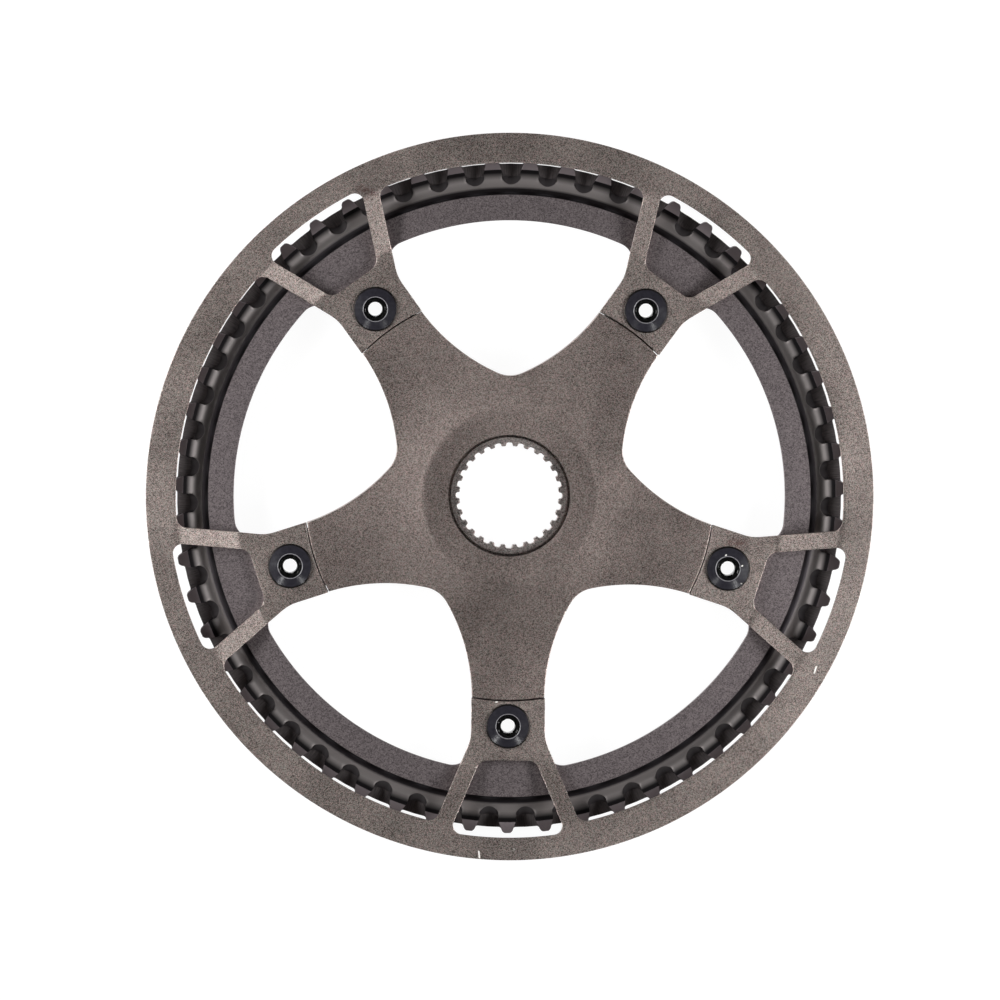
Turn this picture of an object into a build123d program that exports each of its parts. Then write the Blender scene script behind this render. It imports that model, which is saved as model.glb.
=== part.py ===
"""Belt drive sprocket: a toothed belt ring and a belt guard bolted to the five arms of a splined spider.

The sprocket lies on its back. Z is its axis, z = 0 is the back face of the toothed ring, and the front
faces +Z. One arm points along -Y. All sizes are in millimetres and degrees.
"""

from build123d import *
from math import cos, hypot, pi, radians, sin, sqrt, tan
import os

# Arms and bolt circle
arm_count = 5
first_arm_angle = -90
bolt_circle_diameter = 130

# Belt teeth
tooth_count = 55
belt_pitch = 11
pitch_line_offset = 0.95
tooth_height = 5.15
tooth_flank_angle = 21.8
tooth_root_gap = 4.65
tooth_root_sag = 0.5
tooth_tip_round = 0.85
tooth_bevel_length = 3.1
tooth_bevel_drop = 0.9
rim_width = 11
fin_thickness = 2
fin_drop = 1.5
fin_crown = 0.1
fin_corner_round = 1.4

# Sloped mud relief under each tooth gap
relief_width = 5.4
relief_floor_radius = 2.75
relief_run = 2.4

# Front channel between the web and the teeth
channel_depth = 2.4
channel_width = 7.15
channel_inner_run = 2.4
channel_outer_run = 3

# Belt ring body
rim_depth = 8.05
rim_root_round = 2.5
web_width = 7.25
web_thickness = 3.5
ring_tab_width = 20.4
ring_tab_root_round = 5.4

# Spider
spider_tab_thickness = 4
spider_tab_width = 17
shoulder_setback = 7.4
shoulder_drop = 0.2
arm_width = 20.4
arm_side_radius = 55
crotch_round = 8.5
spider_edge_round = 0.4
dish_start_radius = 23.5
dish_start_slope = 10
dish_end_slope = 2.3
hub_radius = 25
hub_round = 2
lockring_radius = 17.2
lockring_depth = 2.5
spline_count = 28
spline_root_radius = 15
spline_tip_radius = 14
spline_gap_width = 1.8
spline_corner_round = 0.5
spline_tip_round = 0.35

# Belt guard
guard_thickness = 2.3
guard_ring_offset = 5
guard_overhang = 7.35
guard_ring_width = 8.25
guard_window_bite = 1.9
guard_bend_gap = 2.3
guard_edge_break = 0.35
pad_width = 20.8
pad_length = 16.7
pad_flare_setout = 3.7
pad_flare_round = 12
pad_corner_round = 3.4
spoke_angle = 23.2
spoke_width = 4.7
window_corner_round = 2.6
ring_corner_round = 3

# Bolts and sleeve nuts
bolt_shank_diameter = 8
bolt_head_diameter = 12.4
bolt_head_edge = 0.7
bolt_head_height = 1.5
bolt_edge_break = 0.25
bolt_mouth_diameter = 7.2
bolt_bore_diameter = 4
socket_lobe_count = 6
socket_lobe_radius = 0.75
socket_lobe_circle = 2.05
socket_depth = 3
nut_barrel_diameter = 10
nut_flange_diameter = 12.6
nut_flange_thickness = 1.5
nut_slot_width = 2
nut_slot_depth = 0.7
nut_end_gap = 0.6
bolt_end_gap = 0.6

# Clearances and cutting allowances
seat_clearance = 0.2
pad_end_clearance = 0.4
barrel_clearance = 0.1
thread_clearance = 0.05
cut_margin = 2
pick_tolerance = 0.01

# Angles, radii and heights that follow from the sizes above
half_arm_angle = 180 / arm_count
first_gap_angle = first_arm_angle + 180 / tooth_count
bolt_radius = bolt_circle_diameter / 2
tip_radius = tooth_count * belt_pitch / (2 * pi) - pitch_line_offset
tooth_root_radius = tip_radius - tooth_height
root_corner_distance = tooth_root_radius + tooth_root_sag
fin_radius = tip_radius - fin_drop
fin_corner_distance = fin_radius - fin_crown
ridge_radius = tip_radius - tooth_bevel_length
channel_inner_radius = ridge_radius - channel_width
rim_inner_radius = ridge_radius - rim_depth
web_inner_radius = channel_inner_radius - web_width
shoulder_radius = bolt_radius - shoulder_setback
guard_outer_radius = tip_radius + guard_overhang
guard_inner_radius = guard_outer_radius - guard_ring_width
guard_window_radius = guard_inner_radius + guard_window_bite
fin_back = (rim_width - fin_thickness) / 2
fin_front = fin_back + fin_thickness
web_front = rim_width
web_back = web_front - web_thickness
channel_floor = web_front - channel_depth
spider_tab_back = web_back - spider_tab_thickness
pad_back = web_front
pad_front = pad_back + guard_thickness
shoulder_front = pad_front - shoulder_drop
pad_inner_radius = shoulder_radius + pad_end_clearance
pad_outer_radius = pad_inner_radius + pad_length
pad_flare_radius = bolt_radius + pad_flare_setout
guard_bend_radius = pad_outer_radius + guard_bend_gap
ring_tab_inner_radius = shoulder_radius + seat_clearance


def arm_places(radius):
    """Places at one radius on every arm, each with its own X axis pointing out along the arm."""
    return PolarLocations(radius, arm_count, start_angle=first_arm_angle)


def vertices_at_radius(sketch, radius):
    """The corners of a sketch that lie on a circle about the sprocket's axis."""
    return [v for v in sketch.vertices() if abs(hypot(v.X, v.Y) - radius) < pick_tolerance]


def nearest_corner(sketch, point):
    """The corner of a sketch that lies nearest to a point of its plane."""
    return sketch.vertices().sort_by_distance(point)[0]


# One tooth gap on both sides of the fin and over it, with its own X axis pointing out through its middle
flank_slope = tan(radians(tooth_flank_angle))
flank_direction = (cos(radians(tooth_flank_angle)), sin(radians(tooth_flank_angle)))
tip_round_start = tip_radius - tooth_tip_round * (1 - flank_direction[1])
gap_end = tip_radius + cut_margin


def gap_half_width(distance):
    """Half the width of a tooth gap between its straight flanks at a distance along its own X axis."""
    return tooth_root_gap / 2 + (distance - root_corner_distance) * flank_slope


def gap_face(corner_distance, floor_radius):
    """Face of one tooth gap, from an arched floor out past the rounded tooth tips."""
    floor_half = gap_half_width(corner_distance)
    flank_half = gap_half_width(tip_round_start)
    mouth_half = flank_half + tooth_tip_round * flank_direction[0]
    with BuildSketch() as gap:
        with BuildLine() as gap_side:
            Line((corner_distance, floor_half), (tip_round_start, flank_half))
            TangentArc((tip_round_start, flank_half), (tip_radius, mouth_half), tangent=flank_direction)
            Polyline((tip_radius, mouth_half), (gap_end, mouth_half), (gap_end, 0))
            mirror(gap_side.edges(), about=Plane.XZ)
            ThreePointArc((corner_distance, floor_half), (floor_radius, 0), (corner_distance, -floor_half))
        make_face()
    return gap.sketch


def relief_face(reach):
    """Face of the round-bottomed mud relief, long enough to leave the ring after a slope of that reach."""
    floor = tooth_root_radius
    half = relief_width / 2
    side_start = floor + relief_floor_radius - sqrt(relief_floor_radius**2 - half**2)
    side_end = gap_end + reach
    with BuildSketch() as relief:
        with BuildLine():
            ThreePointArc((side_start, half), (floor, 0), (side_start, -half))
            Polyline((side_start, -half), (side_end, -half), (side_end, half), (side_start, half))
        make_face()
    return relief.sketch


front_gap_depth = rim_width - fin_front
front_relief_depth = channel_floor - fin_front
front_relief_reach = relief_run * front_gap_depth / front_relief_depth

with BuildPart() as tooth_gap:
    with BuildSketch(Plane.XY.offset(fin_front)):
        add(gap_face(root_corner_distance, tooth_root_radius))
    extrude(amount=front_gap_depth)
    with BuildSketch(Plane.XY.offset(fin_front)):
        add(relief_face(front_relief_reach))
    extrude(
        amount=hypot(front_gap_depth, front_relief_reach),
        dir=(-front_relief_reach, 0, front_gap_depth),
    )
    with BuildSketch(Plane.XY.offset(fin_back)):
        add(gap_face(root_corner_distance, tooth_root_radius))
    extrude(amount=-fin_back)
    with BuildSketch(Plane.XY.offset(fin_back)):
        add(relief_face(relief_run))
    extrude(amount=hypot(fin_back, relief_run), dir=(-relief_run, 0, -fin_back))
    with BuildSketch(Plane.XY.offset(fin_back)) as notch_outline:
        add(gap_face(fin_corner_distance, fin_radius))
        notch_corner_radius = hypot(fin_corner_distance, gap_half_width(fin_corner_distance))
        notch_corners = vertices_at_radius(notch_outline, notch_corner_radius)
        fillet(notch_corners, fin_corner_round)
    extrude(amount=fin_thickness)

# Toothed belt ring: turned blank with five bolt tabs, then its bolt holes and tooth gaps
floor_inner_end = (channel_inner_radius + channel_inner_run, channel_floor)
floor_outer_end = (ridge_radius - channel_outer_run, channel_floor)

with BuildPart() as sprocket_ring:
    with BuildSketch(Plane.XZ) as ring_section:
        with BuildLine():
            TangentArc(floor_inner_end, (channel_inner_radius, web_front), tangent=(-1, 0))
            Polyline(
                (channel_inner_radius, web_front),
                (web_inner_radius, web_front),
                (web_inner_radius, web_back),
                (rim_inner_radius, web_back),
                (rim_inner_radius, 0),
                (ridge_radius, 0),
                (tip_radius, tooth_bevel_drop),
                (tip_radius, web_front - tooth_bevel_drop),
                (ridge_radius, web_front),
            )
            TangentArc(floor_outer_end, (ridge_radius, web_front), tangent=(1, 0))
            Line(floor_outer_end, floor_inner_end)
        make_face()
        fillet(nearest_corner(ring_section, (rim_inner_radius, web_back)), rim_root_round)
    revolve(axis=Axis.Z)
    with BuildSketch(Plane.XY.offset(web_back)) as ring_tabs:
        Circle(web_inner_radius + cut_margin)
        Circle(web_inner_radius, mode=Mode.SUBTRACT)
        with arm_places(ring_tab_inner_radius - cut_margin):
            Rectangle(
                web_inner_radius - ring_tab_inner_radius + 2 * cut_margin,
                ring_tab_width,
                align=(Align.MIN, Align.CENTER),
            )
        fillet(vertices_at_radius(ring_tabs, web_inner_radius), ring_tab_root_round)
        Circle(ring_tab_inner_radius, mode=Mode.SUBTRACT)
        with arm_places(bolt_radius):
            Circle((nut_barrel_diameter + barrel_clearance) / 2, mode=Mode.SUBTRACT)
    extrude(amount=web_thickness)
    with PolarLocations(0, tooth_count, start_angle=first_gap_angle):
        add(tooth_gap.part, mode=Mode.SUBTRACT)

# Spider: dished body turned to a shoulder, five arms, bolt tabs behind the shoulder and a splined hub
dish_curve = (shoulder_radius - dish_start_radius) / (
    sin(radians(dish_start_slope)) - sin(radians(dish_end_slope))
)
dish_centre_radius = shoulder_radius + dish_curve * sin(radians(dish_end_slope))
dish_centre_height = shoulder_front - dish_curve * cos(radians(dish_end_slope))


def dish_point(slope):
    """Point of the dished front in the section plane where it has the given slope."""
    return (
        dish_centre_radius - dish_curve * sin(radians(slope)),
        dish_centre_height + dish_curve * cos(radians(slope)),
    )


hub_front = dish_point(dish_start_slope)[1]
lockring_seat = hub_front - lockring_depth
arm_side_offset = arm_width / 2 + arm_side_radius

with BuildSketch() as arm_window:
    with PolarLocations(0, 1, start_angle=-half_arm_angle):
        with Locations((shoulder_radius, arm_side_offset)):
            Circle(arm_side_radius)
    with PolarLocations(0, 1, start_angle=half_arm_angle):
        with Locations((shoulder_radius, -arm_side_offset)):
            Circle(arm_side_radius, mode=Mode.INTERSECT)
    fillet(arm_window.vertices().sort_by(Axis.X)[0], crotch_round)

with BuildSketch() as spline_gap:
    with Locations((spline_root_radius, 0)):
        Rectangle(
            spline_root_radius - spline_tip_radius + cut_margin,
            spline_gap_width,
            align=(Align.MAX, Align.CENTER),
        )
    fillet(spline_gap.vertices().sort_by(Axis.X)[-2:], spline_corner_round)

with BuildPart() as spider:
    with BuildSketch(Plane.XZ) as spider_section:
        with BuildLine():
            ThreePointArc(
                dish_point(dish_start_slope),
                dish_point((dish_start_slope + dish_end_slope) / 2),
                dish_point(dish_end_slope),
            )
            Polyline(
                dish_point(dish_end_slope),
                (shoulder_radius, spider_tab_back),
                (hub_radius, spider_tab_back),
                (hub_radius, 0),
                (0, 0),
                (0, hub_front),
                dish_point(dish_start_slope),
            )
        make_face()
        fillet(nearest_corner(spider_section, (hub_radius, spider_tab_back)), hub_round)
    revolve(axis=Axis.Z)
    with BuildSketch():
        Circle(shoulder_radius + cut_margin)
        with PolarLocations(0, arm_count, start_angle=first_arm_angle + half_arm_angle):
            add(arm_window.sketch, mode=Mode.SUBTRACT)
    extrude(amount=pad_front, mode=Mode.INTERSECT)
    dish_edges = spider.faces().filter_by(GeomType.REVOLUTION).sort_by(SortBy.AREA)[-1].edges()
    fillet(dish_edges.filter_by(GeomType.CIRCLE, reverse=True), spider_edge_round)
    with BuildSketch(Plane.XY.offset(spider_tab_back)):
        with arm_places(bolt_radius):
            Circle(spider_tab_width / 2)
            Rectangle(
                bolt_radius - shoulder_radius + cut_margin,
                spider_tab_width,
                align=(Align.MAX, Align.CENTER),
            )
    extrude(amount=spider_tab_thickness)
    with BuildSketch(Plane.XY.offset(spider_tab_back)):
        with arm_places(bolt_radius):
            Circle((nut_barrel_diameter + barrel_clearance) / 2)
    extrude(amount=spider_tab_thickness, mode=Mode.SUBTRACT)
    with BuildSketch(Plane.XY.offset(lockring_seat)):
        Circle(lockring_radius)
    extrude(amount=lockring_depth, mode=Mode.SUBTRACT)
    with BuildSketch() as bore_outline:
        Circle(spline_tip_radius)
        with PolarLocations(0, spline_count):
            add(spline_gap.sketch)
        fillet(vertices_at_radius(bore_outline, spline_tip_radius), spline_tip_round)
    extrude(amount=lockring_seat, mode=Mode.SUBTRACT)

# Belt guard: dished plate trimmed to pads, spokes and a proud outer ring
guard_ring_back = pad_back + guard_ring_offset
guard_ring_front = guard_ring_back + guard_thickness
spoke_slope = tan(radians(spoke_angle))
spoke_breadth = spoke_width / cos(radians(spoke_angle))


def spoke_outer_edge(distance):
    """Half the spread of the two spokes' outer edges at a distance out along the arm."""
    return pad_width / 2 + (distance - pad_flare_radius) * spoke_slope


def spoke_inner_edge(distance):
    """Half the spread of the two spokes' inner edges at a distance out along the arm."""
    return spoke_outer_edge(distance) - spoke_breadth


with BuildSketch() as spoke_window:
    Polygon(
        (pad_outer_radius, -spoke_inner_edge(pad_outer_radius)),
        (guard_outer_radius, -spoke_inner_edge(guard_outer_radius)),
        (guard_outer_radius, spoke_inner_edge(guard_outer_radius)),
        (pad_outer_radius, spoke_inner_edge(pad_outer_radius)),
        align=None,
    )
    Circle(guard_window_radius, mode=Mode.INTERSECT)
    fillet(spoke_window.vertices().sort_by(Axis.X)[:2], pad_corner_round)
    fillet(spoke_window.vertices().sort_by(Axis.X)[-2:], window_corner_round)

with BuildSketch() as guard_arm:
    Polygon(
        (pad_inner_radius - cut_margin, -pad_width / 2),
        (pad_flare_radius, -pad_width / 2),
        (guard_inner_radius, -spoke_outer_edge(guard_inner_radius)),
        (guard_inner_radius, spoke_outer_edge(guard_inner_radius)),
        (pad_flare_radius, pad_width / 2),
        (pad_inner_radius - cut_margin, pad_width / 2),
        align=None,
    )

with BuildPart() as belt_guard:
    with BuildSketch(Plane.XZ):
        Polygon(
            (shoulder_radius, pad_back),
            (guard_bend_radius, pad_back),
            (guard_inner_radius, guard_ring_back),
            (guard_outer_radius, guard_ring_back),
            (guard_outer_radius, guard_ring_front),
            (guard_inner_radius, guard_ring_front),
            (guard_bend_radius, pad_front),
            (shoulder_radius, pad_front),
            align=None,
        )
    revolve(axis=Axis.Z)
    guard_rims = belt_guard.edges().filter_by(GeomType.CIRCLE).group_by(SortBy.RADIUS)[-1]
    chamfer(guard_rims, guard_edge_break)
    with BuildSketch(Plane.XY.offset(pad_back)) as guard_plan:
        Circle(guard_outer_radius)
        Circle(guard_inner_radius, mode=Mode.SUBTRACT)
        with arm_places(0):
            add(guard_arm.sketch)
        fillet(vertices_at_radius(guard_plan, guard_inner_radius), ring_corner_round)
        fillet(vertices_at_radius(guard_plan, hypot(pad_flare_radius, pad_width / 2)), pad_flare_round)
        with arm_places(0):
            add(spoke_window.sketch, mode=Mode.SUBTRACT)
        Circle(pad_inner_radius, mode=Mode.SUBTRACT)
        with arm_places(bolt_radius):
            Circle((bolt_shank_diameter + barrel_clearance) / 2, mode=Mode.SUBTRACT)
    extrude(amount=guard_ring_front - pad_back, mode=Mode.INTERSECT)

# Hollow bolts with a six-lobed socket, screwed into sleeve nuts from the front
bolt_top = pad_front + bolt_head_height
nut_back = spider_tab_back - nut_flange_thickness
bolt_end = nut_back + bolt_end_gap
thread_radius = bolt_shank_diameter / 2
shank_radius = thread_radius - thread_clearance
head_radius = bolt_head_diameter / 2
mouth_radius = bolt_mouth_diameter / 2
socket_radius = socket_lobe_circle + socket_lobe_radius
socket_top = bolt_top - (mouth_radius - socket_radius)

with BuildPart() as bolt:
    with BuildSketch(Plane.XZ):
        Polygon(
            (bolt_bore_diameter / 2, bolt_end),
            (shank_radius, bolt_end),
            (shank_radius, pad_front),
            (head_radius, pad_front),
            (head_radius, pad_front + bolt_head_edge - bolt_edge_break),
            (head_radius - bolt_edge_break, pad_front + bolt_head_edge),
            (mouth_radius, bolt_top),
            (socket_radius, socket_top),
            (bolt_bore_diameter / 2, socket_top),
            align=None,
        )
    revolve(axis=Axis.Z)
    with BuildSketch(Plane.XY.offset(socket_top)):
        Circle(socket_lobe_circle)
        with PolarLocations(socket_lobe_circle, socket_lobe_count):
            Circle(socket_lobe_radius)
    extrude(amount=-socket_depth, mode=Mode.SUBTRACT)

with BuildPart() as ring_bolts:
    with arm_places(bolt_radius):
        add(bolt.part)

with BuildPart() as nut:
    with BuildSketch(Plane.XZ):
        Polygon(
            (thread_radius, nut_back),
            (nut_flange_diameter / 2, nut_back),
            (nut_flange_diameter / 2, spider_tab_back),
            (nut_barrel_diameter / 2, spider_tab_back),
            (nut_barrel_diameter / 2, web_front - nut_end_gap),
            (thread_radius, web_front - nut_end_gap),
            align=None,
        )
    revolve(axis=Axis.Z)
    with BuildSketch(Plane.XY.offset(nut_back)):
        Rectangle(nut_flange_diameter + cut_margin, nut_slot_width)
    extrude(amount=nut_slot_depth, mode=Mode.SUBTRACT)

with BuildPart() as sleeve_nuts:
    with arm_places(bolt_radius):
        add(nut.part)

sprocket_ring.part.label = "sprocket_ring"
spider.part.label = "spider"
belt_guard.part.label = "belt_guard"
ring_bolts.part.label = "ring_bolts"
sleeve_nuts.part.label = "sleeve_nuts"

os.makedirs("parts", exist_ok=True)
export_step(sprocket_ring.part, "parts/sprocket_ring.step")
export_step(spider.part, "parts/spider.step")
export_step(belt_guard.part, "parts/belt_guard.step")
export_step(ring_bolts.part, "parts/ring_bolts.step")
export_step(sleeve_nuts.part, "parts/sleeve_nuts.step")
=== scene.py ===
"""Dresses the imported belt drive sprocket: fine meshes of its pieces, finishes, studio light and camera.

Sizes are in millimetres about the sprocket's axis, as in the part's source, and become metres at the end.
Angles are in radians, and an arm is modelled along the X axis before it is turned to its place.
"""

import logging
import math
from collections.abc import Callable
from dataclasses import dataclass, field
from enum import Enum

import bmesh
import bpy
import numpy as np
from mathutils import Matrix, Vector
from mathutils.geometry import delaunay_2d_cdt


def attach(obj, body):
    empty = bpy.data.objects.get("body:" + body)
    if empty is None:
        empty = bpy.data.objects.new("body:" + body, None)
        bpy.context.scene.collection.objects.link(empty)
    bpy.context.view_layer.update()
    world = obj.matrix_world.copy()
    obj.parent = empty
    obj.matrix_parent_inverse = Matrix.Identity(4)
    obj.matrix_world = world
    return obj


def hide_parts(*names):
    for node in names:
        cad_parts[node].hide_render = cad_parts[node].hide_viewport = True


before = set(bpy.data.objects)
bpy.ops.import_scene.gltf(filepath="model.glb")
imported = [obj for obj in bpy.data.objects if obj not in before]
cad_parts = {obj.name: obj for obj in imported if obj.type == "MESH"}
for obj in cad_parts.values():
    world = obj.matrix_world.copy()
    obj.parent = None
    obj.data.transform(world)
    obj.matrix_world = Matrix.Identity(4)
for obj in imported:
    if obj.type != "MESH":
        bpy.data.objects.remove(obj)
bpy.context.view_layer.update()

log = logging.getLogger("sprocket")

Point = tuple[float, float]
Loop = list[Point]
Edge = tuple[int, int]
HeightAt = Callable[[float], float]
Colour = tuple[float, float, float]
Shape = bmesh.types.BMesh
Corners = dict[int, bmesh.types.BMVert]
Thing = bpy.types.Object
Paint = bpy.types.Material
Socket = bpy.types.NodeSocket
Value = Socket | float | tuple[float, ...] | Vector
Settings = dict[str, str | bool]

BODY = "root"
MM = 0.001
ARM_COUNT = 5
FIRST_ARM = math.radians(-90)
HALF_ARM = math.pi / ARM_COUNT
BOLT_RADIUS = 65.0
HOLE_POINTS = 48

# Distances at which corners are joined, and at which a point counts as lying on an edge.
WELD = 0.002
FINE_WELD = WELD / 10
PLAN_WELD = 1e-5
ON_EDGE = 1e-3
# How far a cutting shape reaches past what it cuts.
OVERCUT = 1.0
LONG_OVERCUT = 2.0
# Angles below which faces count as flat or as turned alike, and above which shading breaks.
FLAT = math.radians(0.2)
SAME_TURN = 1e-5
SHARP = math.radians(35)
# The least length of a mitre's projection, which keeps sharp corners from shooting out.
MITRE_LIMIT = 0.5
# The triangulation's mode that keeps only what lies inside the outermost outline.
KEEP_INSIDE = 1
# Half the width of the change between two tones: in metres on the rings, in millimetres about a bolt.
TONE_BLEND = 0.0001
BAND_BLEND = 0.05
# Values between which most of a noise lies, and nearly all of it.
NOISE_MIDDLE = (0.3, 0.7)
NOISE_SPREAD = (0.2, 0.8)


class Carving(Enum):
    """What a boolean does with its second shape."""

    CUT = "DIFFERENCE"
    ADD = "UNION"


def arc(centre: Point, radius: float, start: float, end: float, pace: float = 0.7) -> Loop:
    """Points along an arc, both ends included.

    Args:
        centre: the arc's centre.
        radius: its radius.
        start: the angle where it starts.
        end: the angle where it ends.
        pace: the longest step along it.

    Returns:
        The points in order.
    """
    count = max(4, math.ceil(abs(end - start) * radius / pace))
    angles = [start + (end - start) * k / count for k in range(count + 1)]
    return [(centre[0] + radius * math.cos(a), centre[1] + radius * math.sin(a)) for a in angles]


def short_arc(centre: Point, first: Point, last: Point, pace: float = 0.35) -> Loop:
    """The shorter arc about a centre from one point to another.

    Args:
        centre: the arc's centre.
        first: the point where it starts.
        last: the point where it ends.
        pace: the longest step along it.

    Returns:
        The points in order.
    """
    start = math.atan2(first[1] - centre[1], first[0] - centre[0])
    end = math.atan2(last[1] - centre[1], last[0] - centre[0])
    turn = (end - start + math.pi) % math.tau - math.pi
    return arc(centre, math.dist(centre, first), start, start + turn, pace)


def corner_round(before: Point, corner: Point, after: Point, radius: float) -> Loop:
    """The arc that rounds a corner between two straight edges.

    Args:
        before: a point on the edge that comes in.
        corner: the sharp corner.
        after: a point on the edge that goes out.
        radius: the radius of the round.

    Returns:
        The points of the arc in order.
    """
    tip = Vector(corner)
    back = (Vector(before) - tip).normalized()
    ahead = (Vector(after) - tip).normalized()
    half = back.angle(ahead) / 2
    reach = radius / math.tan(half)
    centre = tip + (back + ahead).normalized() * radius / math.sin(half)
    return short_arc(tuple(centre), tuple(tip + back * reach), tuple(tip + ahead * reach))


def ring_round(base: Point, angle: float, side: int, ring: float, radius: float) -> Loop:
    """The arc that rounds the inner corner where a straight edge runs out into a ring about the axis.

    Args:
        base: a point on the edge.
        angle: the edge's direction.
        side: 1 where the corner lies to the left of the edge, -1 to its right.
        ring: the ring's radius.
        radius: the radius of the round.

    Returns:
        The points of the arc, from the edge to the ring.
    """
    along = Vector((math.cos(angle), math.sin(angle)))
    off = Vector((-along.y, along.x)) * side * radius
    start = Vector(base) + off
    run = -start.dot(along) + math.sqrt(start.dot(along) ** 2 - start.length_squared + (ring - radius) ** 2)
    centre = start + along * run
    return short_arc(tuple(centre), tuple(centre - off), tuple(centre.normalized() * ring))


def turned(loop: Loop, angle: float) -> Loop:
    """The same points, turned about the axis."""
    c, s = math.cos(angle), math.sin(angle)
    return [(x * c - y * s, x * s + y * c) for x, y in loop]


def mirrored(loop: Loop) -> Loop:
    """The points mirrored across the arm's own line, in reverse order."""
    return [(x, -y) for x, y in reversed(loop)]


def arm_angles() -> list[float]:
    """The direction of every arm."""
    return [FIRST_ARM + k * math.tau / ARM_COUNT for k in range(ARM_COUNT)]


def around(half: Loop) -> Loop:
    """The closed outline that repeats half an arm's edge, from its middle, on both sides of every arm."""
    whole = mirrored(half)[:-1] + half[:-1]
    return [point for angle in arm_angles() for point in turned(whole, angle)]


def circle(radius: float, count: int, start: float = 0.0) -> Loop:
    """Points of a full circle about the axis."""
    angles = [start + k * math.tau / count for k in range(count)]
    return [(radius * math.cos(a), radius * math.sin(a)) for a in angles]


def bolt_holes(radius: float) -> list[Loop]:
    """One round hole outline on every arm's bolt centre."""
    hole = [(BOLT_RADIUS + x, y) for x, y in circle(radius, HOLE_POINTS)]
    return [turned(hole, angle) for angle in arm_angles()]


def inset(loop: Loop, inside: float, distance: float) -> Loop:
    """An outline moved into the material.

    Args:
        loop: the outline.
        inside: 1 where the material lies inside the outline, -1 where it lies outside.
        distance: how far it moves.

    Returns:
        The moved outline.
    """
    points = np.array(loop)
    ahead = np.roll(points, -1, 0) - points
    ahead /= np.linalg.norm(ahead, axis=1)[:, None]
    area = np.sum(points[:, 0] * np.roll(points[:, 1], -1) - np.roll(points[:, 0], -1) * points[:, 1])
    normals = np.stack([-ahead[:, 1], ahead[:, 0]], 1) * math.copysign(1.0, area * inside)
    mitre = normals + np.roll(normals, 1, 0)
    mitre /= np.maximum(np.sum(mitre * normals, axis=1), MITRE_LIMIT)[:, None]
    return [tuple(p) for p in points + mitre * distance]


def within(points: np.ndarray, loops: list[Loop]) -> np.ndarray:
    """Which points lie inside an odd number of outlines.

    Args:
        points: the points, one row each.
        loops: the closed outlines.

    Returns:
        One truth value per point.
    """
    x, y = points[:, 0], points[:, 1]
    odd = np.zeros(len(points), bool)
    for loop in loops:
        for (x0, y0), (x1, y1) in zip(loop, loop[1:] + loop[:1]):
            if y0 != y1:
                odd ^= ((y0 > y) != (y1 > y)) & (x < (x1 - x0) * (y - y0) / (y1 - y0) + x0)
    return odd


@dataclass
class Outline:
    """One closed edge of a plate.

    Attributes:
        loop: its points.
        inside: 1 where the material lies inside it, -1 where it lies outside.
        edge_round: the radius of its rounded edges; 0 leaves it open, to be welded to another shape.
    """

    loop: Loop
    inside: int
    edge_round: float


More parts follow.
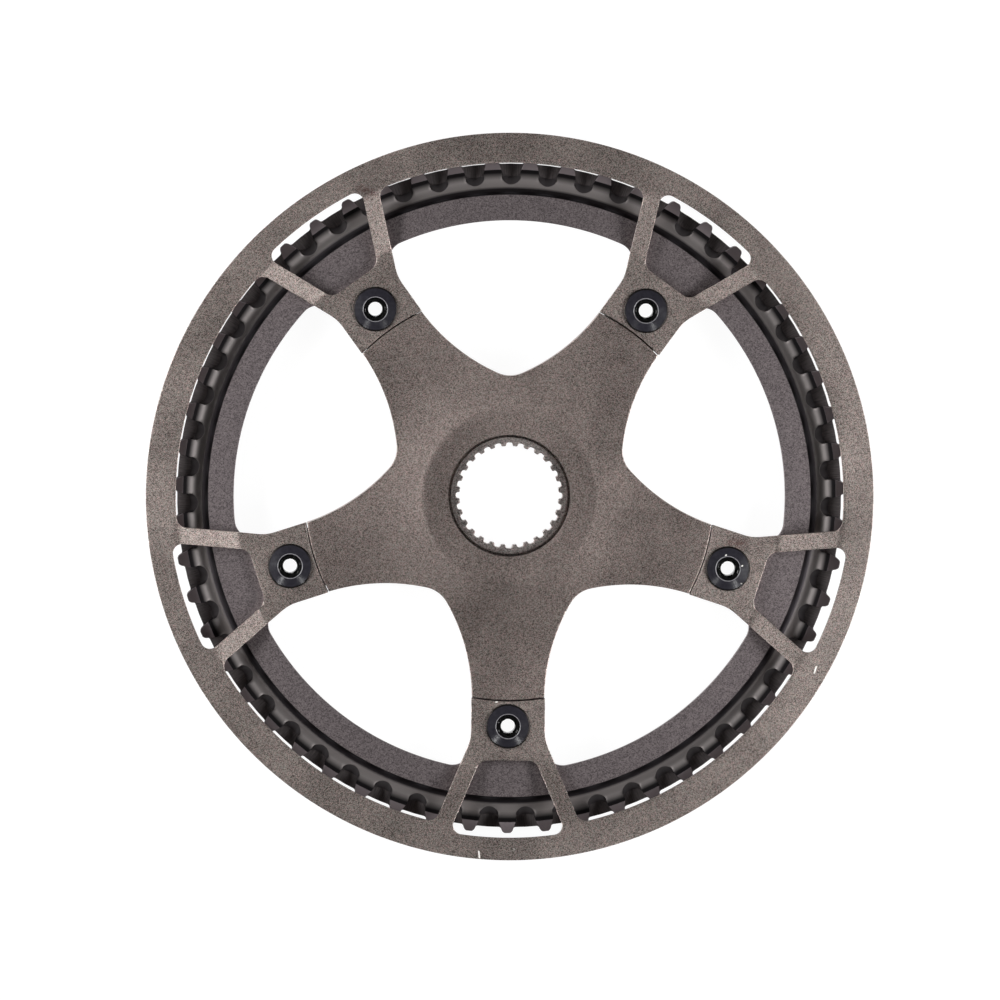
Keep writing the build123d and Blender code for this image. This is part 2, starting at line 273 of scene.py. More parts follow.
@dataclass
class Plate:
    """A plate cut from plan outlines, whose front and back heights depend on the radius.

    Attributes:
        outlines: its edges.
        front: the front's height at a radius.
        back: the back's height at a radius.
        lines: radii at which its faces bend.
        line_count: the number of points on each of those circles.
        line_start: the angle of their first point, clear of the outlines' own points.
        round_steps: the number of faces across a rounded edge.
    """

    outlines: list[Outline]
    front: HeightAt
    back: HeightAt
    lines: list[float] = field(default_factory=list)
    line_count: int = 220
    line_start: float = 0.003
    round_steps: int = 3

    def plan(self, loops: list[Loop]) -> tuple[np.ndarray, np.ndarray]:
        """Triangulates the plan between the outlines.

        Args:
            loops: the outlines of the flat faces.

        Returns:
            The points, and the triangles as rows of three point numbers.
        """
        points: list[Vector] = []
        edges: list[Edge] = []
        for loop in loops + [circle(r, self.line_count, self.line_start) for r in self.lines]:
            first = len(points)
            points += [Vector(p) for p in loop]
            edges += [(first + k, first + (k + 1) % len(loop)) for k in range(len(loop))]
        plan, _, triangles, _, _, _ = delaunay_2d_cdt(points, edges, [], KEEP_INSIDE, PLAN_WELD, False)
        spots = np.array([(p.x, p.y) for p in plan])
        corners = np.array([list(t) for t in triangles])
        return spots, corners[within(spots[corners].mean(1), loops)]

    def shape(self) -> Shape:
        """Builds the front and back faces and closes them with rounded edges.

        Returns:
            The plate, closed except at outlines without a round.
        """
        loops = [inset(o.loop, o.inside, o.edge_round) if o.edge_round else o.loop for o in self.outlines]
        spots, corners = self.plan(loops)
        shape = bmesh.new()
        radii = np.hypot(spots[:, 0], spots[:, 1])
        used = set(corners.ravel().tolist())
        fronts = {k: shape.verts.new((*spots[k], self.front(radii[k]))) for k in used}
        backs = {k: shape.verts.new((*spots[k], self.back(radii[k]))) for k in used}
        free: dict[Edge, bool] = {}
        for a, b, c in corners.tolist():
            flip = np.cross(spots[b] - spots[a], spots[c] - spots[a]) < 0
            a, b, c = (a, c, b) if flip else (a, b, c)
            shape.faces.new((fronts[a], fronts[b], fronts[c]))
            shape.faces.new((backs[a], backs[c], backs[b]))
            for pair in ((a, b), (b, c), (c, a)):
                if not free.pop((pair[1], pair[0]), False):
                    free[pair] = True
        self._close(shape, spots, fronts, backs, free, loops)
        return shape

    def _rounds(self, spots: np.ndarray, rim: dict[int, int], loops: list[Loop]) -> dict[int, float]:
        """The radius of the rounded edges at every point of the rim.

        Args:
            spots: the plan's points.
            rim: the next point along the free edges, by point.
            loops: the outlines of the flat faces, to tell which one a point lies on.

        Returns:
            The radius by point, 0 where the plate stays open.
        """
        sizes: dict[int, float] = {}
        for loop, outline in zip(loops, self.outlines):
            start = np.array(loop)
            step = np.roll(start, -1, 0) - start
            for a in rim:
                if a not in sizes:
                    share = np.clip(np.sum((spots[a] - start) * step, 1) / np.sum(step * step, 1), 0, 1)
                    off = np.linalg.norm(start + step * share[:, None] - spots[a], axis=1)
                    if np.min(off) < ON_EDGE:
                        sizes[a] = outline.edge_round
        return sizes

    def _close(
        self,
        shape: Shape,
        spots: np.ndarray,
        fronts: Corners,
        backs: Corners,
        free: dict[Edge, bool],
        loops: list[Loop],
    ) -> None:
        """Runs a rounded wall from the front to the back along every free edge of the plan.

        Args:
            shape: the plate so far.
            spots: the plan's points.
            fronts: the front's corner at each point.
            backs: the back's corner at each point.
            free: the free edges, with the material to their left.
            loops: the outlines of the flat faces.
        """
        ahead = {a: b for a, b in free}
        behind = {b: a for a, b in free}
        sizes = self._rounds(spots, ahead, loops)
        turns = [k * math.pi / 2 / self.round_steps for k in range(1, self.round_steps + 1)]
        rows: dict[int, list[bmesh.types.BMVert]] = {}
        for a, b in ahead.items():
            radius = sizes[a]
            if not radius:
                continue
            sides = (spots[a] - spots[behind[a]], spots[b] - spots[a])
            normals = [np.array((v[1], -v[0])) / np.linalg.norm(v) for v in sides]
            out = normals[0] + normals[1]
            out /= max(float(np.dot(out, normals[0])), MITRE_LIMIT)
            top, bottom = fronts[a].co.z, backs[a].co.z
            down = [(radius * math.sin(t), radius * (1 - math.cos(t))) for t in turns]
            wall = [shape.verts.new((*(spots[a] + out * w), top - d)) for w, d in down]
            wall += [shape.verts.new((*(spots[a] + out * w), bottom + d)) for w, d in reversed(down)]
            rows[a] = [fronts[a], *wall, backs[a]]
        for a, b in ahead.items():
            if a in rows and b in rows:
                for k in range(len(rows[a]) - 1):
                    shape.faces.new((rows[a][k], rows[a][k + 1], rows[b][k + 1], rows[b][k]))


def prism(outline: Loop, base: float, top: float, shift: float = 0.0) -> Shape:
    """A straight or slanted prism over an outline.

    Args:
        outline: its plan at the base.
        base: the base's height.
        top: the top's height.
        shift: how far the top lies further out along X.

    Returns:
        The closed prism.
    """
    shape = bmesh.new()
    low = [shape.verts.new((x, y, base)) for x, y in outline]
    high = [shape.verts.new((x + shift, y, top)) for x, y in outline]
    shape.faces.new(low)
    shape.faces.new(high)
    for k in range(len(outline)):
        n = (k + 1) % len(outline)
        shape.faces.new((low[k], low[n], high[n], high[k]))
    bmesh.ops.recalc_face_normals(shape, faces=shape.faces[:])
    return shape


def lathe(profile: Loop, angles: list[float], centre: float = 0.0) -> Shape:
    """A closed profile swept about an upright axis.

    Args:
        profile: its radii and heights.
        angles: where the sweep puts its rows; a full turn where the last comes back to the first.
        centre: the axis's distance from the origin along X.

    Returns:
        The closed shape.
    """
    shape = bmesh.new()
    full = math.isclose(angles[-1] - angles[0], math.tau)
    kept = angles[:-1] if full else angles
    rows = []
    for a in kept:
        rows.append([shape.verts.new((centre + r * math.cos(a), r * math.sin(a), z)) for r, z in profile])
    pairs = list(zip(rows, rows[1:])) + ([(rows[-1], rows[0])] if full else [])
    for one, two in pairs:
        for k in range(len(profile)):
            n = (k + 1) % len(profile)
            shape.faces.new((one[k], one[n], two[n], two[k]))
    if not full:
        shape.faces.new(rows[0])
        shape.faces.new(rows[-1])
    bmesh.ops.recalc_face_normals(shape, faces=shape.faces[:])
    return shape


def into_object(shape: Shape, name: str) -> Thing:
    """Makes an object of a shape and links it to the scene.

    Args:
        shape: the shape, which is used up.
        name: the object's name.

    Returns:
        The new object.
    """
    mesh = bpy.data.meshes.new(name)
    shape.to_mesh(mesh)
    shape.free()
    thing = bpy.data.objects.new(name, mesh)
    bpy.context.scene.collection.objects.link(thing)
    return thing


def lifted(*things: Thing) -> Shape:
    """The meshes of some objects as one shape, with its doubled corners joined.

    Args:
        things: the objects.

    Returns:
        The shape.
    """
    shape = bmesh.new()
    for thing in things:
        shape.from_mesh(thing.data)
    bmesh.ops.remove_doubles(shape, verts=shape.verts[:], dist=WELD)
    return shape


def put_back(shape: Shape, thing: Thing) -> None:
    """Gives an object a changed shape, which is used up."""
    shape.to_mesh(thing.data)
    shape.free()


def settle(thing: Thing) -> None:
    """Applies an object's modifiers to its own mesh.

    Args:
        thing: the object.
    """
    result = thing.evaluated_get(bpy.context.evaluated_depsgraph_get())
    mesh = bpy.data.meshes.new_from_object(result)
    thing.modifiers.clear()
    thing.data = mesh


def carve(body: Thing, tool: Shape, how: Carving) -> None:
    """Cuts a shape out of an object or adds it.

    Args:
        body: the object to change.
        tool: the other shape, which is used up.
        how: whether it is cut or added.
    """
    other = into_object(tool, "tool")
    work = body.modifiers.new("carve", "BOOLEAN")
    work.operation = how.value
    work.solver = "EXACT"
    work.object = other
    settle(body)
    bpy.data.objects.remove(other)


def flatten(shape: Shape) -> None:
    """Joins the flat faces that carving has split."""
    bmesh.ops.dissolve_limit(shape, angle_limit=FLAT, verts=shape.verts[:], edges=shape.edges[:])


def soften(shape: Shape, width: float, sharp: float) -> None:
    """Rounds the sharp edges of a shape with two faces each.

    Args:
        shape: the shape to change.
        width: how far the round reaches from an edge.
        sharp: the angle from which an edge counts as sharp.
    """
    edges = [e for e in shape.edges if len(e.link_faces) == 2 and e.calc_face_angle(0) > sharp]
    bmesh.ops.bevel(
        shape,
        geom=edges,
        offset=width,
        offset_type="OFFSET",
        segments=2,
        profile=0.5,
        affect="EDGES",
        clamp_overlap=True,
    )


def circular_repeat() -> bpy.types.NodeTree:
    """The node tree that repeats one shape evenly about the axis.

    Returns:
        The tree, with inputs Count, Start Angle, Weld Distance and Material.
    """
    tree = bpy.data.node_groups.new("circular repeat", "GeometryNodeTree")
    for name, kind in (
        ("Geometry", "NodeSocketGeometry"),
        ("Count", "NodeSocketInt"),
        ("Start Angle", "NodeSocketFloat"),
        ("Weld Distance", "NodeSocketFloat"),
        ("Material", "NodeSocketMaterial"),
    ):
        tree.interface.new_socket(name, in_out="INPUT", socket_type=kind)
    tree.interface.new_socket("Geometry", in_out="OUTPUT", socket_type="NodeSocketGeometry")
    given = tree.nodes.new("NodeGroupInput")
    result = tree.nodes.new("NodeGroupOutput")
    points = tree.nodes.new("GeometryNodePoints")
    index = tree.nodes.new("GeometryNodeInputIndex")
    step = tree.nodes.new("ShaderNodeMath")
    step.operation = "DIVIDE"
    step.inputs[0].default_value = math.tau
    turn = tree.nodes.new("ShaderNodeMath")
    turn.operation = "MULTIPLY_ADD"
    angles = tree.nodes.new("ShaderNodeCombineXYZ")
    rotation = tree.nodes.new("FunctionNodeEulerToRotation")
    place = tree.nodes.new("GeometryNodeInstanceOnPoints")
    realize = tree.nodes.new("GeometryNodeRealizeInstances")
    weld = tree.nodes.new("GeometryNodeMergeByDistance")
    paint = tree.nodes.new("GeometryNodeSetMaterial")
    for source, target in (
        (given.outputs["Count"], points.inputs["Count"]),
        (given.outputs["Count"], step.inputs[1]),
        (index.outputs[0], turn.inputs[0]),
        (step.outputs[0], turn.inputs[1]),
        (given.outputs["Start Angle"], turn.inputs[2]),
        (turn.outputs[0], angles.inputs["Z"]),
        (angles.outputs[0], rotation.inputs[0]),
        (points.outputs[0], place.inputs["Points"]),
        (given.outputs["Geometry"], place.inputs["Instance"]),
        (rotation.outputs[0], place.inputs["Rotation"]),
        (place.outputs[0], realize.inputs[0]),
        (realize.outputs[0], weld.inputs["Geometry"]),
        (given.outputs["Weld Distance"], weld.inputs["Distance"]),
        (weld.outputs[0], paint.inputs["Geometry"]),
        (given.outputs["Material"], paint.inputs["Material"]),
        (paint.outputs[0], result.inputs[0]),
    ):
        tree.links.new(source, target)
    return tree


def repeat(thing: Thing, count: int, start: float, weld: float, paint: Paint) -> None:
    """Repeats an object's mesh about the axis with Geometry Nodes and keeps the plain result.

    Args:
        thing: the object, modelled on the X side of the axis.
        count: the number of copies.
        start: the first copy's angle.
        weld: the distance at which corners of neighbours are joined.
        paint: the material.
    """
    tree = bpy.data.node_groups.get("circular repeat") or circular_repeat()
    ids = {s.name: s.identifier for s in tree.interface.items_tree if s.in_out == "INPUT"}
    nodes = thing.modifiers.new("repeat", "NODES")
    nodes.node_group = tree
    nodes[ids["Count"]] = count
    nodes[ids["Start Angle"]] = start
    nodes[ids["Weld Distance"]] = weld
    nodes[ids["Material"]] = paint
    settle(thing)


def finish_piece(thing: Thing, name: str, node: str, paint: Paint) -> None:
    """Turns a modelled object into a finished piece of the sprocket.

    Args:
        thing: the object, in millimetres.
        name: the piece's name.
        node: the node that it stands for.
        paint: its material.
    """
    thing.name = name
    thing.data.name = name
    thing.data.transform(Matrix.Scale(MM, 4))
    thing.data.materials.clear()
    thing.data.materials.append(paint)
    thing.data.shade_smooth()
    thing.data.set_sharp_from_angle(angle=SHARP)
    even = thing.modifiers.new("even normals", "WEIGHTED_NORMAL")
    even.keep_sharp = True
    settle(thing)
    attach(thing, BODY)
    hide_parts(node)
    thing.data.calc_loop_triangles()
    log.info("%s: %d triangles", name, len(thing.data.loop_triangles))


@dataclass(frozen=True)
class Mark:
    """A scratch, fleck or stain on a finish.

    Attributes:
        start: where it starts in plan, in millimetres.
        end: where it ends.
        reach: how far it shows on both sides of its middle.
        colour: its colour.
        core: the share of its reach that is fully covered.
        strength: how much it covers.
        bare: whether it is bright bare metal or dust, rather than a stain.
        broken: whether it is broken up into spots.
        spots: spots to the metre, where it is broken up.
        spot_edge: the noise values between which a spot fades in.
    """

    start: Point
    end: Point
    reach: float
    colour: Colour = (0.8, 0.78, 0.74)
    core: float = 0.5
    strength: float = 1.0
    bare: bool = True
    broken: bool = False
    spots: float = 1500.0
    spot_edge: tuple[float, float] = (0.35, 0.6)


@dataclass(frozen=True)
class PaintedLightBand:
    """A ring of painted light about each bolt's own axis: painted shade where dark, a painted highlight where
    light.

    Attributes:
        inner: its inner radius in millimetres.
        outer: its outer radius in millimetres.
        colour: its colour: near-black for painted shade, light grey for a painted highlight.
    """

    inner: float
    outer: float
    colour: Colour


class NodePen:
    """Draws the nodes of one material."""

    def __init__(self, name: str) -> None:
        """Starts a material with its Principled shader.

        Args:
            name: the material's name.
        """
        self.material = bpy.data.materials.new(name)
        self.material.use_nodes = True
        self.tree = self.material.node_tree
        self.shader = self.tree.nodes["Principled BSDF"]
        self.place = self.tree.nodes.new("ShaderNodeTexCoord").outputs["Object"]

    def put(self, socket: Socket, value: Value) -> None:
        """Links a socket to an input or sets its value.

        Args:
            socket: the input.
            value: a socket to link, or a number, vector or colour.
        """
        if isinstance(value, Socket):
            self.tree.links.new(value, socket)
        else:
            socket.default_value = value

    def fill(self, made: bpy.types.Node, **values: Value) -> bpy.types.Node:
        """Fills a node's inputs.

        Args:
            made: the node.
            values: its inputs by name, with _ for each space.

        Returns:
            The node.
        """
        for key, value in values.items():
            self.put(made.inputs[key.replace("_", " ")], value)
        return made

    def node(self, kind: str, settings: Settings | None = None, **values: Value) -> bpy.types.Node:
        """Adds a node.

        Args:
            kind: its Blender type.
            settings: its own properties.
            values: its inputs by name, as for fill.

        Returns:
            The node.
        """
        made = self.tree.nodes.new(kind)
        for key, value in (settings or {}).items():
            setattr(made, key, value)
        return self.fill(made, **values)

    def worked(self, kind: str, operation: str, values: tuple[Value, ...]) -> bpy.types.Node:
        """Adds a node that works something out.

        Args:
            kind: its Blender type.
            operation: what it does.
            values: its inputs in order.

        Returns:
            The node.
        """
        made = self.node(kind, {"operation": operation})
        for socket, value in zip(made.inputs, values):
            self.put(socket, value)
        return made

    def math(self, operation: str, *values: Value) -> Socket:
        """The result of a Math node on up to three numbers or sockets."""
        return self.worked("ShaderNodeMath", operation, values).outputs[0]

    def vector(self, operation: str, *values: Value, result: str = "Vector") -> Socket:
        """The result of a Vector Math node on up to two vectors or sockets."""
        return self.worked("ShaderNodeVectorMath", operation, values).outputs[result]

    def noise(self, place: Socket, scale: float, detail: float = 2.0, rough: float = 0.5) -> Socket:
        """The value of a noise texture at a place, from 0 to 1."""
        made = self.node("ShaderNodeTexNoise", Vector=place, Scale=scale, Detail=detail, Roughness=rough)
        return made.outputs[0]

    def grain(self, scale: float) -> tuple[Socket, Socket]:
        """Two random values for each small grain of a blasted surface.

        Args:
            scale: grains to the metre.

        Returns:
            Its shade and its tint, from 0 to 1.
        """
        cells = self.node("ShaderNodeTexVoronoi", Vector=self.place, Scale=scale)
        split = self.node("ShaderNodeSeparateColor", Color=cells.outputs["Color"])
        return split.outputs[0], split.outputs[1]

    def between(self, value: Value, low: float, high: float, start: float = 0.0, end: float = 1.0) -> Socket:
        """A value mapped from one range to another, and kept inside it.

        Args:
            value: the value.
            low: where the first range starts.
            high: where it ends.
            start: where the second range starts.
            end: where it ends.

        Returns:
            The mapped value.
        """
        made = self.node("ShaderNodeMapRange", {"clamp": True}, Value=value)
        for socket, number in zip(made.inputs[1:5], (low, high, start, end)):
            socket.default_value = number
        return made.outputs[0]

    def beyond(self, value: Value, edge: float) -> Socket:
        """A narrow change from 0 to 1 where a value in metres passes an edge."""
        return self.between(value, edge - TONE_BLEND, edge + TONE_BLEND)

    def mix(self, share: Value, one: Socket | Colour, two: Socket | Colour) -> Socket:
        """Two colours mixed by a share.

        Args:
            share: the second colour's share.
            one: the first colour.
            two: the second colour.

        Returns:
            The mixed colour.
        """
        made = self.node("ShaderNodeMix", {"data_type": "RGBA"})
        # A Mix node has sockets of the same names for every data type: these numbers are the colours'.
        self.put(made.inputs[0], share)
        for socket, value in zip((made.inputs[6], made.inputs[7]), (one, two)):
            self.put(socket, (*value, 1.0) if isinstance(value, tuple) else value)
        return made.outputs[2]

    def polar(self) -> tuple[Socket, Socket, Socket]:
        """The place about the sprocket's axis.

        Returns:
            The radius and the height in metres, and the angle.
        """
        x, y, z = self.node("ShaderNodeSeparateXYZ", Vector=self.place).outputs
        square = self.math("ADD", self.math("MULTIPLY", x, x), self.math("MULTIPLY", y, y))
        return self.math("SQRT", square), z, self.math("ARCTAN2", y, x)

    def from_bolt(self) -> Socket:
        """The distance from the nearest bolt's axis.

        Returns:
            The distance in millimetres.
        """
        radius, _, angle = self.polar()
        wrapped = self.math("WRAP", angle, FIRST_ARM + HALF_ARM, FIRST_ARM - HALF_ARM)
        turn = self.math("SUBTRACT", wrapped, FIRST_ARM)
        reach = self.math("DIVIDE", radius, MM)
        along = self.math("MULTIPLY", reach, self.math("COSINE", turn))
        square = self.math("ADD", self.math("MULTIPLY", reach, reach), BOLT_RADIUS**2)
        return self.math("SQRT", self.math("ADD", square, self.math("MULTIPLY", along, -2 * BOLT_RADIUS)))

    def band(self, off: Socket, band: PaintedLightBand) -> Socket:
        """How strongly a band shows at a place, from 0 to 1.

        Args:
            off: the distance from the nearest bolt's axis, in millimetres.
            band: the band.

        Returns:
            Its strength.
        """
        past = self.between(off, band.inner - BAND_BLEND, band.inner + BAND_BLEND)
        before = self.between(off, band.outer + BAND_BLEND, band.outer - BAND_BLEND)
        return self.math("MULTIPLY", past, before)

    def mark(self, mark: Mark) -> Socket:
        """How strongly a mark shows at a place, from 0 to 1.

        Args:
            mark: the mark.

        Returns:
            Its strength.
        """
        ahead = Vector((*mark.end, 0)) - Vector((*mark.start, 0))
        unit = ahead.normalized()
        plan = self.vector("MULTIPLY", self.place, (1 / MM, 1 / MM, 0))
        past = self.vector("SUBTRACT", plan, (*mark.start, 0))
        along = self.vector("DOT_PRODUCT", past, unit, result="Value")
        held = self.node("ShaderNodeClamp", Value=along, Min=0.0, Max=ahead.length).outputs[0]
        foot = self.node("ShaderNodeVectorMath", {"operation": "SCALE"}, Vector=unit, Scale=held)
        off = self.vector("DISTANCE", past, foot.outputs[0], result="Value")
        shown = self.between(off, mark.reach, mark.reach * mark.core, 0.0, mark.strength)
        if mark.broken:
            spots = self.between(self.noise(self.place, mark.spots), *mark.spot_edge)
            shown = self.math("MULTIPLY", shown, spots)
        return shown

    def bump(self, height: Socket, strength: float, distance: float) -> None:
        """Gives the shader a bump from a height."""
        made = self.node("ShaderNodeBump", Height=height, Strength=strength, Distance=distance)
        self.fill(self.shader, Normal=made.outputs[0])


def scaled(colour: Colour, factor: float) -> Colour:
    """A colour times a factor."""
    return tuple(c * factor for c in colour)


def tinted(colour: Colour, tint: Colour) -> Colour:
    """A colour times another one, channel by channel."""
    return tuple(c * t for c, t in zip(colour, tint))


@dataclass(frozen=True)
class BlastedFinish:
    """Bead-blasted, anodised aluminium: a fine grain with faint clouds and a few marks of wear.

    Attributes:
        name: the material's name.
        tone: the mean colour.
        marks: scratches, flecks and stains.
        seat_radius: the radius of a machined seat about the axis, in metres, or 0.
        seat_tone: the seat's mean colour.
        contrast: how far the grains differ from the mean, as a share of it.
        warm: a warm grain's colour over the mean's, by channel.
        cool: a cool grain's colour over the mean's, by channel.
        grain: grains to the metre.
        clouds: clouds to the metre.
        cloud_share: the clouds' share in the shade.
        roughness: the mean roughness.
        roughness_spread: how far the clouds change it either way.
        metallic: the share of metal.
        bump_strength: the strength of the grains' relief.
        bump_height: its height, in metres.
    """

    name: str
    tone: Colour
    marks: tuple[Mark, ...] = ()
    seat_radius: float = 0.0
    seat_tone: Colour = (0.37, 0.325, 0.31)
    contrast: float = 0.97
    warm: Colour = (1.1, 0.95, 0.97)
    cool: Colour = (0.9, 1.05, 1.02)
    grain: float = 5400.0
    clouds: float = 55.0
    cloud_share: float = 0.2
    roughness: float = 0.37
    roughness_spread: float = 0.05
    metallic: float = 0.95
    bump_strength: float = 0.25
    bump_height: float = 0.00008

    def grained(self, pen: NodePen, tone: Colour, shade: Socket, tint: Socket) -> Socket:
        """A tone varied from grain to grain.

        Args:
            pen: the material's pen.
            tone: the mean colour.
            shade: each grain's shade.
            tint: each grain's tint.

        Returns:
            The colour.
        """
        dark, light = scaled(tone, 1 - self.contrast), scaled(tone, 1 + self.contrast)
        return pen.mix(shade, dark, pen.mix(tint, tinted(light, self.warm), tinted(light, self.cool)))

    def material(self) -> Paint:
        """Draws the material.

        Returns:
            The material.
        """
        pen = NodePen(self.name)
        fine, tint = pen.grain(self.grain)
        cloud = pen.noise(pen.place, self.clouds, detail=3.0, rough=0.55)
        grainy = pen.math("MULTIPLY", fine, 1 - self.cloud_share)
        shade = pen.math("ADD", grainy, pen.math("MULTIPLY", cloud, self.cloud_share))
        colour = self.grained(pen, self.tone, shade, tint)
        if self.seat_radius:
            past_seat = pen.beyond(pen.polar()[0], self.seat_radius)
            colour = pen.mix(past_seat, self.grained(pen, self.seat_tone, shade, tint), colour)
        metal = self.metallic
        for mark in self.marks:
            shown = pen.mark(mark)
            colour = pen.mix(shown, colour, mark.colour)
            if mark.bare:
                metal = pen.math("MULTIPLY", metal, pen.math("SUBTRACT", 1.0, shown))
        low, high = self.roughness - self.roughness_spread, self.roughness + self.roughness_spread
        sheen = pen.between(cloud, *NOISE_SPREAD, low, high)
        pen.fill(pen.shader, Base_Color=colour, Metallic=metal, Roughness=sheen)
        pen.bump(fine, self.bump_strength, self.bump_height)
        return pen.material


@dataclass(frozen=True)
class BeltRingFinish:
    """Dark anodised aluminium: a finely blasted web, a smoother channel, streaked fins and dark tooth ends.

    Radii and heights are in metres. The channel's inner wall and outer side carry painted shade.

    Attributes:
        name: the material's name.
        web_dark: the colour in the web's pits.
        web_light: the colour on the web's grain.
        wall: painted shade on the channel's inner wall, a near-black colour standing in for its shade.
        rim: the colour of the channel's floor.
        slope: painted shade on the channel's outer side, a near-black colour that also damps its highlight.
        end: the colour of the tooth ends.
        pocket_painted_shade: painted shade in the sloped tooth gaps, a dark colour standing in for their
            shade.
        streak_dark: the colour between the machining streaks on the fins.
        streak_light: the colour on them.
        rim_start: the radius where the channel starts.
        wall_end: the radius where its inner wall runs out into its floor.
        wall_fade: the width of that change.
        slope_start: the radius where its outer side starts.
        slope_fade: the width of that change.
        root: the radius of the tooth gaps' floor.
        floor: the height of the channel's floor.
        end_start: the radius where the tooth ends start.
        fin_front: the height of the fins' front face.
        grain: the web's grains to the metre.
        streaks_around: streaks to the radian.
        streaks_out: how often they change along the radius, to the metre.
        web_roughness: the web's roughness.
        rim_roughness: the channel's roughness.
        slope_roughness: how much rougher its outer side is.
        rim_grain: the share of the web's relief that the channel has.
        bump_strength: the strength of the grains' relief.
        bump_height: its height.
    """

    name: str = "belt ring dark anodised"
    web_dark: Colour = (0.105, 0.09, 0.093)
    web_light: Colour = (0.27, 0.233, 0.238)
    wall: Colour = (0.03, 0.027, 0.03)
    rim: Colour = (0.25, 0.229, 0.224)
    slope: Colour = (0.016, 0.0145, 0.0155)
    end: Colour = (0.23, 0.203, 0.213)
    pocket_painted_shade: Colour = (0.085, 0.077, 0.08)
    streak_dark: Colour = (0.085, 0.076, 0.077)
    streak_light: Colour = (0.15, 0.134, 0.135)
    rim_start: float = 0.0851
    wall_end: float = 0.0867
    wall_fade: float = 0.0007
    slope_start: float = 0.0893
    slope_fade: float = 0.002
    root: float = 0.0903
    floor: float = 0.0086
    end_start: float = 0.0922
    fin_front: float = 0.0065
    grain: float = 3600.0
    streaks_around: float = 320.0
    streaks_out: float = 260.0
    web_roughness: float = 0.5
    rim_roughness: float = 0.48
    slope_roughness: float = 0.2
    rim_grain: float = 0.35
    bump_strength: float = 0.2
    bump_height: float = 0.00006

    def streaked(self, pen: NodePen, radius: Socket, angle: Socket) -> Socket:
        """The colour of the fins, with streaks from front to back.

        Args:
            pen: the material's pen.
            radius: the radius at a place.
            angle: the angle at a place.

        Returns:
            The colour.
        """
        turn = pen.math("MULTIPLY", angle, self.streaks_around)
        out = pen.math("MULTIPLY", radius, self.streaks_out)
        across = pen.node("ShaderNodeCombineXYZ", X=turn, Y=out)
        streaks = pen.noise(across.outputs[0], 1.0, rough=0.6)
        return pen.mix(pen.between(streaks, *NOISE_MIDDLE), self.streak_dark, self.streak_light)

    def material(self) -> Paint:
        """Draws the material.

        Returns:
            The material.
        """
        pen = NodePen(self.name)
        radius, height, angle = pen.polar()
        fine, _ = pen.grain(self.grain)
        web = pen.mix(fine, self.web_dark, self.web_light)
        # Painted shade: near-black colours on the channel's inner wall and outer side stand in for the shade
        # there and damp the outer side's highlight.
        rim = pen.mix(pen.between(radius, self.wall_end, self.wall_end + self.wall_fade), self.wall, self.rim)
        sloped = pen.between(radius, self.slope_start, self.slope_start + self.slope_fade)
        rim = pen.mix(sloped, rim, self.slope)
        rim = pen.mix(pen.beyond(radius, self.end_start), rim, self.end)
        # Painted shade: the sloped tooth gaps below the channel's floor get a dark colour that stands in for
        # their shade.
        pocket_shade_share = pen.between(height, self.floor - TONE_BLEND / 2, self.floor - 1.5 * TONE_BLEND)
        pocket_shade_share = pen.math("MULTIPLY", pocket_shade_share, pen.between(radius, self.root + TONE_BLEND, self.root))
        rim = pen.mix(pocket_shade_share, rim, self.pocket_painted_shade)
        low = pen.between(height, self.fin_front + TONE_BLEND, self.fin_front)
        rim = pen.mix(low, rim, self.streaked(pen, radius, angle))
        is_rim = pen.beyond(radius, self.rim_start)
        sheen = pen.between(is_rim, 0.0, 1.0, self.web_roughness, self.rim_roughness)
        sheen = pen.math("ADD", sheen, pen.math("MULTIPLY", sloped, self.slope_roughness))
        pen.fill(pen.shader, Base_Color=pen.mix(is_rim, web, rim), Roughness=sheen, Metallic=1.0)
        grain = pen.math("MULTIPLY", fine, pen.between(is_rim, 0.0, 1.0, 1.0, self.rim_grain))
        pen.bump(grain, self.bump_strength, self.bump_height)
        return pen.material


@dataclass(frozen=True)
class CoatedFinish:
    """Smooth black coated steel, with specks of dust where it has any, and rings of painted light about the
    bolts.

    Attributes:
        name: the material's name.
        colour: the coat's colour.
        roughness: its mean roughness.
        marks: specks of dust.
        painted_light_bands: rings of painted shade and painted highlight about each bolt's own axis.
        clouds: faint clouds to the metre.
        cloud_light: how much lighter the coat is in a cloud.
        smoother: how much smoother it is between the clouds.
        rougher: how much rougher it is in a cloud.
        bump_strength: the strength of its relief.
        bump_height: the relief's height, in metres.
    """

    name: str
    colour: Colour
    roughness: float
    marks: tuple[Mark, ...] = ()
    painted_light_bands: tuple[PaintedLightBand, ...] = ()
    clouds: float = 900.0
    cloud_light: float = 1.5
    smoother: float = 0.03
    rougher: float = 0.04
    bump_strength: float = 0.05
    bump_height: float = 0.00003

    def material(self) -> Paint:
        """Draws the material.

        Returns:
            The material.
        """
        pen = NodePen(self.name)
        cloud = pen.noise(pen.place, self.clouds, detail=3.0, rough=0.6)
        light = scaled(self.colour, self.cloud_light)
        colour = pen.mix(pen.between(cloud, *NOISE_MIDDLE), self.colour, light)
        # Painted light about each bolt: painted shade inside the socket and around the head's edge, and a
        # painted highlight on the mouth's rim.
        if self.painted_light_bands:
            off = pen.from_bolt()
            for band in self.painted_light_bands:
                colour = pen.mix(pen.band(off, band), colour, band.colour)
        for mark in self.marks:
            colour = pen.mix(pen.mark(mark), colour, mark.colour)
        low, high = self.roughness - self.smoother, self.roughness + self.rougher
        sheen = pen.between(cloud, *NOISE_MIDDLE, low, high)
        pen.fill(pen.shader, Base_Color=colour, Roughness=sheen)
        pen.bump(cloud, self.bump_strength, self.bump_height)
        return pen.material


